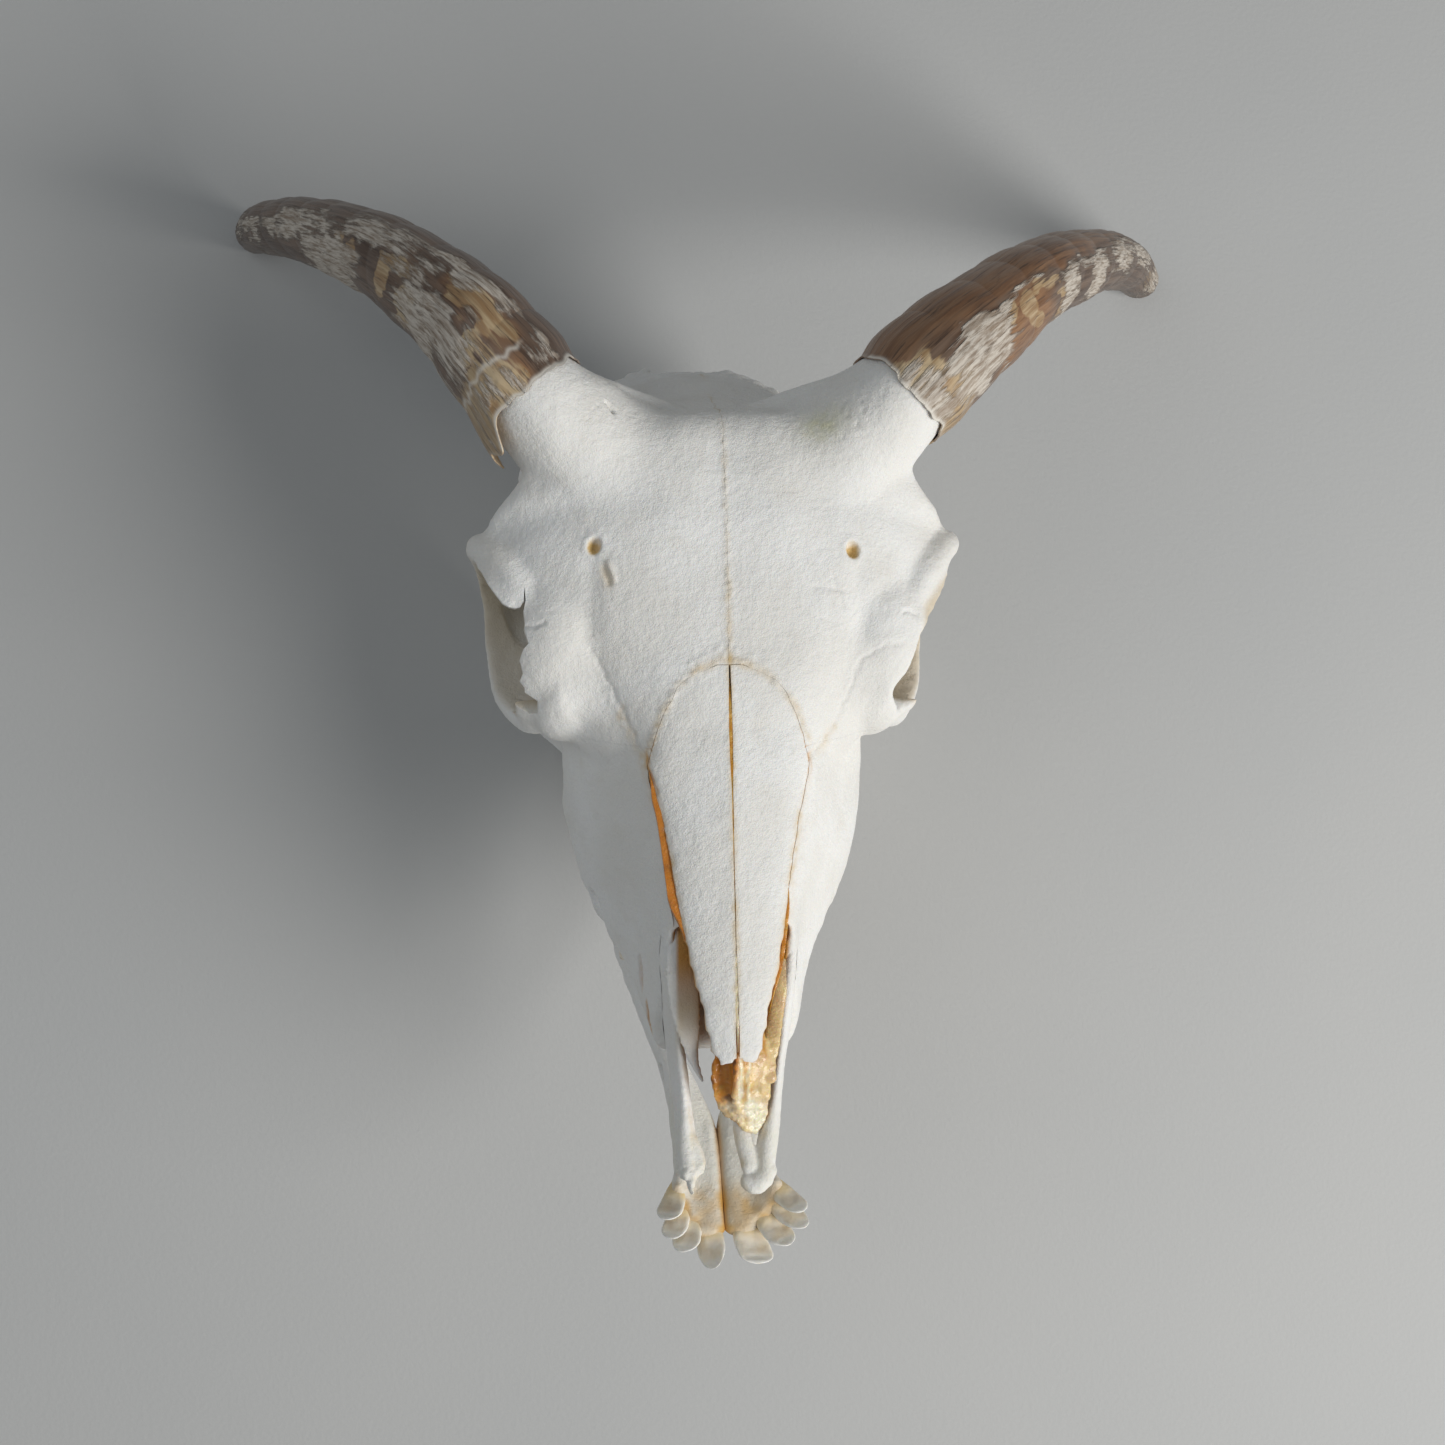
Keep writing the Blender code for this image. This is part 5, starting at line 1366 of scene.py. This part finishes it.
def incisor(root, tip, blade, point, side):
    """Front tooth: a neck that widens into a thin blade, hollowed on the tongue's side."""
    t = np.linspace(0, 1, 5)[:, None]
    axis = np.array(root) + t * (np.array(tip) - root) - (0, 0, 1.6) * np.sin(np.pi * t)
    sizes = [(0.6 * blade, 2.0), (0.68 * blade, 2.2), (0.9 * blade, 2.0), (1.04 * blade, 1.4),
             (0.98 * blade, 0.7)]
    rows = bar_rows(axis, sizes, INCISOR_ROWS, INCISOR_COUNT, (0.3 * side, 0.0, 1.0),
                    (False, False))
    centre = rows.mean(axis=1, keepdims=True)
    t = np.linspace(0, 1, len(rows))[:, None]
    sine = np.sin(turns(INCISOR_COUNT))
    closing = np.clip((t - point) / (1.004 - point), 0, 1) ** (1.2 + 1.6 * point)
    shrink = np.sqrt(np.clip(1 - closing, 0.003, 1))
    rows = centre + (rows - centre) * shrink[:, :, None]
    dish = ramp(t, 0.5, 0.74) * (1 - ramp(t, 0.9, 0.995)) * np.clip(sine, 0, 1) ** 2
    rows[:, :, 2] -= dish * 0.26 * blade
    part = solid("incisor", rows)
    places, ways = places_of(part.data)
    places += ways * lumpy(places, (0.12, 1.6, 72), (0.05, 0.7, 73))[:, None]
    put_places(part.data, places)
    stain = 0.5 + 0.5 * lumps(places, 1.6, 71)
    shade = 0.6 * ramp(t, 0.5, 0.72) * (1 - ramp(t, 0.8, 0.95)) * ramp(sine, 0.25, 0.75)
    neck = 0.95 * (1 - ramp(t, 0.45, 0.72)) * (0.4 + 0.6 * ramp(sine, -0.2, 0.4))
    edges = np.maximum(ramp(t, 0.5, 0.7) * bump_of(sine - 0.05, 0.42),
                       ramp(t, 0.84, 0.93) * np.ones(INCISOR_COUNT))
    shade, neck, edges = (np.append(field.ravel(), (0, 0)) for field in (shade, neck, edges))
    lay(part.data, brown=shade * (0.1 + 0.5 * stain ** 2), gold=neck * (0.5 + 0.5 * stain),
        rim=edges)
    return part


for side, hand in SIDES:
    parts = [
        lofted("jaw_body", JAW_BODY, plate_section, 60, 28),
        lofted("jaw_ramus", JAW_RAMUS, plate_section, 24, 28, upright=True),
        tube("coronoid", [(40.4, 66, 24), (41, 64, 42), (41.2, 60, 56), (41, 54.5, 65)],
             [(2.3, 7.5), (2.2, 6.0), (1.9, 4.2), (1.4, 2.2)], up=(0, 1, 0)),
        tube("jaw_neck", [(40.2, 50, 20), (41, 48, 34)], [(2.5, 6.5), (3.4, 4.4)],
             up=(0, 1, 0)),
        egg("jaw_head", (41.0, 46.5, 36.3), (7.4, 4.4, 3.6)),
        tube("chin_plate", [(8.2, 184.0, -26.0), (4.6, 196.0, -25.0), (3.0, 207.0, -24.6),
                            (3.4, 218.0, -24.0), (4.4, 229.4, -22.0)],
             [(1.6, 3.0), (2.6, 4.2), (3.8, 5.0), (4.6, 4.4), (4.6, 2.2)]),
        *(tooth_socket(root, tip, blade) for root, tip, blade, _ in INCISORS[side]),
    ]
    jaw = grown_over(fused(parts), 1.0, 4, 1)
    if side < 0:
        drawn, jaw = both(jaw)
        bpy.data.objects.remove(drawn)
    chin = prism("chin_cut", *([(x, s, h) for s, h in CHIN_SIDE]
                               for x in (side * CHIN_GAP / 2, -side * 20)))
    jaw = largest(carved(jaw, [chin]))
    places, ways = places_of(jaw.data)
    x, s, h = places.T
    outer = ramp(ways[:, 0] * side, 0.3, 0.8)
    off_nerve = np.hypot(s - CHEEK_NERVE_PIT[0], h - CHEEK_NERVE_PIT[1])
    push = lumpy(places, (0.3, 10.0, 81), (0.14, 3.6, 82), (0.06, 1.6, 83))
    push -= 2.4 * (1 - ramp(off_nerve, 1.0, 2.6)) * outer
    push -= 0.9 * outer * bump_of(np.hypot((s - 66) / 14, (h + 14) / 20), 0.8)
    push += (0.35 * outer * ramp(s, 90, 96) * (1 - ramp(s, 160, 166)) * bump_of(h + 24, 6)
             * np.cos(s * 0.75))
    push += 0.4 * np.abs(lumps(places, 2.6, 84)) * bump_of(h + 44, 5) * (1 - ramp(s, 74, 86))
    put_places(jaw.data, places + ways * push[:, None])
    mottle = 0.5 + 0.5 * lumps(places, 2.2, 85)
    necks, chin_seam = ramp(s, 214, 225) * (0.3 + 0.7 * mottle), ramp(s, 180, 195)
    lay(jaw.data,
        ochre=0.9 * necks + 0.45 * bump_of(np.abs(x) - 0.3, 0.8) * chin_seam,
        amber=0.55 * bump_of(np.abs(x), 0.7) * chin_seam + 0.35 * ramp(s, 216, 224) * mottle,
        # Painted shade: brown along the jaw's edge beside the teeth and faintly on the chin, near
        # black in the nerve pit.
        umber=(0.25 * bump_of(h + 18, 3) * ramp(s, 92, 98) * (1 - ramp(s, 160, 166)) * mottle
               + 0.08 * ramp(s, 185, 200) * (1 - ramp(s, 212, 222))),
        dark=0.8 * (1 - ramp(off_nerve, 0.8, 2.0)) * outer,
        green=0.22 * ramp(s, 186, 200) * (0.5 + 0.5 * mottle))
    placed(jaw, "jaw_" + hand, bone, "bone", "mandible_" + hand)
    row = worn_row(LOWER_TEETH, LOWER_CROWN, LOWER_ROOT, side)
    placed(row, "lower_teeth_" + hand, tooth, "bone")
    for number, place in enumerate(INCISORS[side], 1):
        placed(incisor(*place, side), f"incisor_{hand}_{number}", tooth, "bone")


# Horns: sheaths of horn that slip over bony cores. They grew in rings from the foot, and have
# weathered: glossy brown along the back, chalky, flaked and fibrous along the front.
HORN_ROWS, HORN_COUNT = 460, 190
LINING_ROWS = 60
GRAIN_RADIUS = 11
RING_SPACING = 13.5
# Patches: part of the way along, across from -1 at the back to 1 at the front, half-sizes in
# each, and how strong.
CHALK = {
    -1: (
        (0.155, 0.68, 0.085, 0.42, 1.0), (0.17, -0.52, 0.085, 0.26, 0.8),
        (0.45, 0.72, 0.10, 0.38, 1.0), (0.03, 0.45, 0.03, 0.45, 0.55),
        (0.035, -0.5, 0.03, 0.25, 0.5), (0.62, 0.45, 0.08, 0.30, 0.75),
        (0.78, 0.55, 0.07, 0.30, 0.8), (0.33, -0.15, 0.09, 0.4, 0.75),
        (0.52, 0.1, 0.10, 0.40, 0.7), (0.24, 0.10, 0.06, 0.35, 0.6), (0.90, 0.3, 0.08, 0.5, 0.6),
    ),
    1: (
        (0.102, 0.42, 0.052, 0.50, 1.15), (0.335, 0.72, 0.030, 0.60, 1.1),
        (0.455, 0.45, 0.04, 0.55, 1.0), (0.015, 0.20, 0.03, 0.60, 0.7),
        (0.19, -0.02, 0.09, 0.14, 0.75), (0.58, 0.30, 0.07, 0.40, 0.75),
        (0.75, 0.10, 0.09, 0.50, 0.85), (0.36, 0.05, 0.08, 0.20, 0.6),
        (0.62, -0.1, 0.06, 0.5, 0.6), (0.93, 0.10, 0.09, 0.70, 0.8),
    ),
}
TAN = {
    -1: (
        (0.03, 0.55, 0.045, 0.60, 1.0), (0.085, 0.45, 0.018, 0.40, 0.9),
        (0.115, -0.12, 0.055, 0.28, 0.95), (0.218, 0.74, 0.022, 0.30, 0.95),
        (0.278, 0.55, 0.020, 0.42, 1.0), (0.245, 0.25, 0.03, 0.12, 0.8),
        (0.355, 0.55, 0.012, 0.30, 0.6), (0.40, 0.30, 0.03, 0.15, 0.6),
    ),
    1: (
        (0.020, 0.35, 0.042, 0.85, 1.0), (0.06, 0.70, 0.020, 0.40, 0.9),
        (0.145, 0.12, 0.040, 0.25, 0.9), (0.212, 0.40, 0.022, 0.28, 1.0),
        (0.26, 0.18, 0.04, 0.16, 0.7), (0.30, 0.60, 0.015, 0.40, 0.6),
        (0.88, 0.50, 0.08, 0.40, 0.5),
    ),
}
RUST = {
    -1: ((0.115, -0.12, 0.06, 0.30, 0.9), (0.03, 0.1, 0.04, 0.3, 0.7),
         (0.24, 0.1, 0.05, 0.3, 0.35)),
    1: ((0.20, 0.60, 0.075, 0.60, 1.0), (0.06, 0.75, 0.025, 0.45, 1.0),
        (0.25, -0.7, 0.5, 0.55, 0.75)),
}
# Line across each horn above which its back is bare and glossy, by part of the way along.
GLOSS = {
    -1: ((0.0, -0.62), (0.1, -0.80), (0.25, -0.66), (0.4, -0.55), (0.6, -0.40), (0.8, -0.2),
         (1.0, 0.2)),
    1: ((0.0, -0.55), (0.044, -0.41), (0.09, -0.34), (0.15, -0.21), (0.24, -0.06),
        (0.33, -0.04), (0.45, -0.35), (0.7, -0.6), (1.0, -0.6)),
}


def spread_out(patches, u, v):
    """How strongly the patches cover each place."""
    cover = np.zeros_like(u)
    for at_u, at_v, half_u, half_v, strength in patches:
        near = (np.abs((u - at_u) / half_u) ** 3 + np.abs((v - at_v) / half_v) ** 3) ** (1 / 3)
        cover = np.maximum(cover, strength * (1 - ramp(near, 0.45, 1.5)))
    return cover


def streaks(flat, size, seed, stretch=1.0):
    """Lumps over a sheath's rows, drawn out along it where the stretch is below 1."""
    return lumps(flat * (1, 1, stretch), size, seed).reshape(-1, HORN_COUNT)


def old_horn(wire, here):
    """Brown horn, clearer and tan at the foot, with chalky and fibrous patches."""
    grain = wire.layer("grain", 1)
    fibres, strands, pumice, flakes = (
        grain.noise(size, detail, roughness, (1.0, stretch, 1.0), shift)
        for size, detail, roughness, stretch, shift in (
            (0.55, 3, 0.6, 0.055, 0.0), (1.6, 3, 0.6, 0.09, 5), (0.7, 4, 0.7, 0.16, 3),
            (2.4, 4, 0.65, 0.17, 7)))
    chalk = wire.layer("chalk") + (flakes - 0.5) * 1.3
    chalk = chalk + (strands - 0.5) * 1.5 + (pumice - 0.5) * 0.8
    tan = wire.layer("tan") + (strands - 0.5) * 1.4 + (flakes - 0.5) * 0.7
    rust = (wire.layer("rust") + (strands - 0.5) * 0.8).between(0.1, 0.9)
    base = (strands.between(0.35, 0.65) * 0.9).painted((0.165, 0.108, 0.074), (0.078, 0.047, 0.031))
    rusty = strands.between(0.38, 0.62) * 0.8
    rusty = rusty.painted((0.300, 0.160, 0.078), (0.160, 0.076, 0.036))
    colour = rust.painted(base, rusty)
    tans = strands.between(0.35, 0.6).painted((0.56, 0.43, 0.26), (0.34, 0.21, 0.10))
    colour = (tan.between(0.42, 0.62) * 0.92).painted(colour, tans)
    chalks = pumice.between(0.34, 0.60).painted((0.31, 0.245, 0.185), (0.64, 0.585, 0.51))
    chalks = (strands.between(0.5, 0.7) * 0.6).painted(chalks, (0.26, 0.19, 0.135))
    white = chalk.between(0.40, 0.82) * 0.92
    colour = white.painted(colour, chalks)
    lines = fibres.between(0.56, 0.66) * (1 - 0.55 * white)
    colour = (lines * 0.6).painted(colour, (0.035, 0.018, 0.012))
    colour = wire.layer("rimline").painted(colour, (0.80, 0.76, 0.68))
    relief = fibres * 0.35 + strands * 0.5 + (pumice * white) * 0.9 + white * 0.5
    return colour, 0.3 + 0.5 * white + 0.12 * fibres, relief, 0.45


horn = finish("old_horn", old_horn, {"Coat Weight": 0.12, "Coat Roughness": 0.25})

for side, hand in SIDES:
    rows = bar_rows(horn_axis(side), HORN_SIZES, HORN_ROWS, HORN_COUNT, rest_up, (False, True))
    centre = rows.mean(axis=1)
    along = np.append(0, np.cumsum(np.linalg.norm(np.diff(centre, axis=0), axis=1)))
    spoke = rows - centre[:, None]
    radius = np.linalg.norm(spoke, axis=2)
    way = np.gradient(centre[:HORN_ROWS], axis=0)
    way = unit(np.vstack([way, np.repeat(way[-1:], len(rows) - HORN_ROWS, axis=0)]))
    front = np.cross(rest_up, way)
    front = unit(front * np.sign(front @ rest_front)[:, None])
    across = (spoke * front[:, None]).sum(axis=2)
    spoke /= np.maximum(radius, 1e-6)[:, :, None]
    # Each place by part of the way along, and from -1 at the back to 1 at the front.
    u = np.repeat((along / along[-1])[:, None], HORN_COUNT, axis=1)
    v = across / np.maximum(across.max(axis=1), 1e-6)[:, None]
    angle, length = turns(HORN_COUNT), np.repeat(along[:, None], HORN_COUNT, axis=1)
    grain = np.stack([np.cos(angle) * GRAIN_RADIUS + 0 * u, np.sin(angle) * GRAIN_RADIUS + 0 * u,
                      length], axis=-1)
    flat = grain.reshape(-1, 3)
    stray_u = u + 0.014 * streaks(flat, 6.0, 88) + 0.008 * streaks(flat, 2.5, 89)
    stray_v = v + 0.20 * streaks(flat, 7.0, 86) + 0.10 * streaks(flat, 2.5, 87)
    bare = 1 - ramp(stray_v - np.interp(u, *zip(*GLOSS[side])), -0.08, 0.10)
    chalk, tan, rust = (spread_out(patches[side], stray_u, stray_v)
                        for patches in (CHALK, TAN, RUST))
    chalk = chalk * (1 - bare) - 0.5 * bare + 0.12
    tan = tan * (1 - bare) - 0.4 * bare
    rust = np.maximum(rust, (0.1 if side < 0 else 0.75) * bare)
    fibre = streaks(flat, 1.3, 92, 0.09)
    flake = streaks(flat, 3.0, 93, 0.22) + 0.5 * streaks(flat, 1.5, 94, 0.4)
    slant = length + 2.2 * v + 0.8 * streaks(flat, 7.0, 96)
    ring = np.abs(np.sin(slant * math.pi / RING_SPACING)) ** 0.7
    push = 0.42 * (ring - 0.6) * (1 - ramp(u, 0.55, 0.95))
    push += 0.14 * fibre * (1 - 0.5 * ramp(u, 0.8, 1.0))
    worn_off = 0.17 * ramp(flake, -0.15, 0.2) - 0.15 + 0.10 * streaks(flat, 1.0, 95, 0.4)
    push += ramp(chalk, 0.35, 0.6) * worn_off
    push -= 1.1 * (1 - ramp(along, 0, 8))[:, None]
    # The foot of the right sheath has split and curls away from the bone in front.
    push += 3.2 * (side < 0) * bump_of(v - 1.0, 0.3) * (1 - ramp(along, 0, 10))[:, None]
    push += 0.35 * streaks(flat, 12.0, 97) * (1 - ramp(u, 0.85, 1.0))
    rows = rows + spoke * (push * np.minimum(radius / 4, 1))[:, :, None]
    ragged = lumpy(flat[:HORN_COUNT], (0.9, 4.0, 98), (0.5, 1.6, 99))
    if side < 0:
        ragged -= 6.5 * bump_of(v[0] - 0.93, 0.10) * (np.sin(angle) > -0.3)
    else:
        ragged -= 2.6 * bump_of(v[0] - 0.1, 0.7) * (np.sin(angle) > 0)
    fade = (1 - ramp(along, 0, 13))[:, None, None]
    rows = rows + way[:, None] * fade * ragged[None, :, None]
    thin = np.linspace(0.45, 2.0, LINING_ROWS)[:, None, None]
    inner = rows[:LINING_ROWS] - spoke[:LINING_ROWS] * thin
    part = solid("horn", np.concatenate([inner[::-1], rows]))
    rimline = bump_of(along - 0.3, 0.8)[:, None] * (0.3 + 0.7 * (np.abs(v) < 0.9)) * 0.8
    crack = bump_of(along[:, None] - 9.6 - 0.8 * fibre, 0.5) * ramp(v, -0.4, -0.1)
    rimline = rimline + 0.6 * crack * (side < 0)
    layers = {"chalk": chalk, "tan": tan, "rust": rust, "rimline": rimline}
    for name, field in layers.items():
        lining = np.repeat(field[:1] * (name != "rimline"), LINING_ROWS, axis=0)
        layers[name] = np.append(np.concatenate([lining, field]).ravel(), (0, 0))
    lay(part.data, **layers)
    layer = part.data.attributes.new("grain", "FLOAT_VECTOR", "POINT")
    seam = np.concatenate([grain[:LINING_ROWS][::-1], grain]).reshape(-1, 3)
    seam = np.vstack([seam, seam[:1], seam[-1:]])
    layer.data.foreach_set("vector", seam[:, (0, 2, 1)].astype(np.float32).ravel())
    placed(part, "horn_" + hand + "_sheath", horn, "horn", "horn_" + hand)


# Floor and light: a plain pale floor, matt and faintly clouded, under the jaw and the tips of
# the horns. A large soft lamp stands in front on the left, a weaker one behind on the right,
# and pale light comes from all round.
FLOOR_HALF = 2000
LAMP_AIM = (0.0, 0.0, 0.05)


def pale_floor(wire, here):
    """Matt pale grey, faintly clouded."""
    broad, fine = here.noise(300, 3), here.noise(1.5, 3)
    colour = broad.between(0.3, 0.7).painted((0.47, 0.475, 0.47), (0.50, 0.50, 0.49))
    return colour, 0.85 + 0.1 * fine, fine, 0.1


def lamp(name, place, size, power, colour):
    """Large soft round panel of light, aimed at the skull."""
    panel = bpy.data.objects.new(name, bpy.data.lights.new(name, "AREA"))
    panel.data.shape = "DISK"
    panel.data.size = size
    panel.data.energy = power
    panel.data.color = colour
    panel.location = place
    panel.rotation_euler = (Vector(LAMP_AIM) - Vector(place)).to_track_quat("-Z", "Y").to_euler()
    bpy.context.scene.collection.objects.link(panel)


floor = meshed("floor", [(FLOOR_HALF * a, FLOOR_HALF * b, 0)
                         for a, b in ((-1, -1), (1, -1), (1, 1), (-1, 1))], [[0, 1, 2, 3]])
floor.location.z = sole
floor.data.materials.append(finish("pale_floor", pale_floor))
lamp("key_light", (0.80, -0.50, 0.85), 0.75, 13.0, (1.0, 0.985, 0.96))
lamp("fill_light", (-0.9, 0.3, 1.1), 1.2, 2.6, (0.93, 0.97, 1.0))
sky = bpy.data.worlds.new("studio")
sky.use_nodes = True
sky.node_tree.nodes["Background"].inputs["Color"].default_value = (0.9, 0.95, 1.0, 1.0)
sky.node_tree.nodes["Background"].inputs["Strength"].default_value = 0.22
bpy.context.scene.world = sky
bpy.context.scene.view_settings.view_transform = "Standard"


# Camera: almost straight above, a little to the skull's right and turned a little, so that the
# muzzle points down in the picture. It aims at a point that moves with the skull.
CAMERA_AIM = (-0.0024, 0.0, 0.137)
CAMERA_AWAY = 0.52
CAMERA_TIP, CAMERA_TURN = math.radians(-7), math.radians(-1.1)

shift = at_rest.translation - Vector((0.0, REST_FORWARD, REST_LIFT)) * MM
camera = bpy.data.objects.new("camera", bpy.data.cameras.new("camera"))
camera.data.lens = 54.44
camera.data.sensor_width = 36.0
camera.matrix_world = (Matrix.Translation(Vector(CAMERA_AIM) + shift)
                       @ Matrix.Rotation(CAMERA_TIP, 4, "Y") @ Matrix.Rotation(CAMERA_TURN, 4, "Z")
                       @ Matrix.Translation((0, 0, CAMERA_AWAY)))
bpy.context.scene.collection.objects.link(camera)
bpy.context.scene.camera = camera
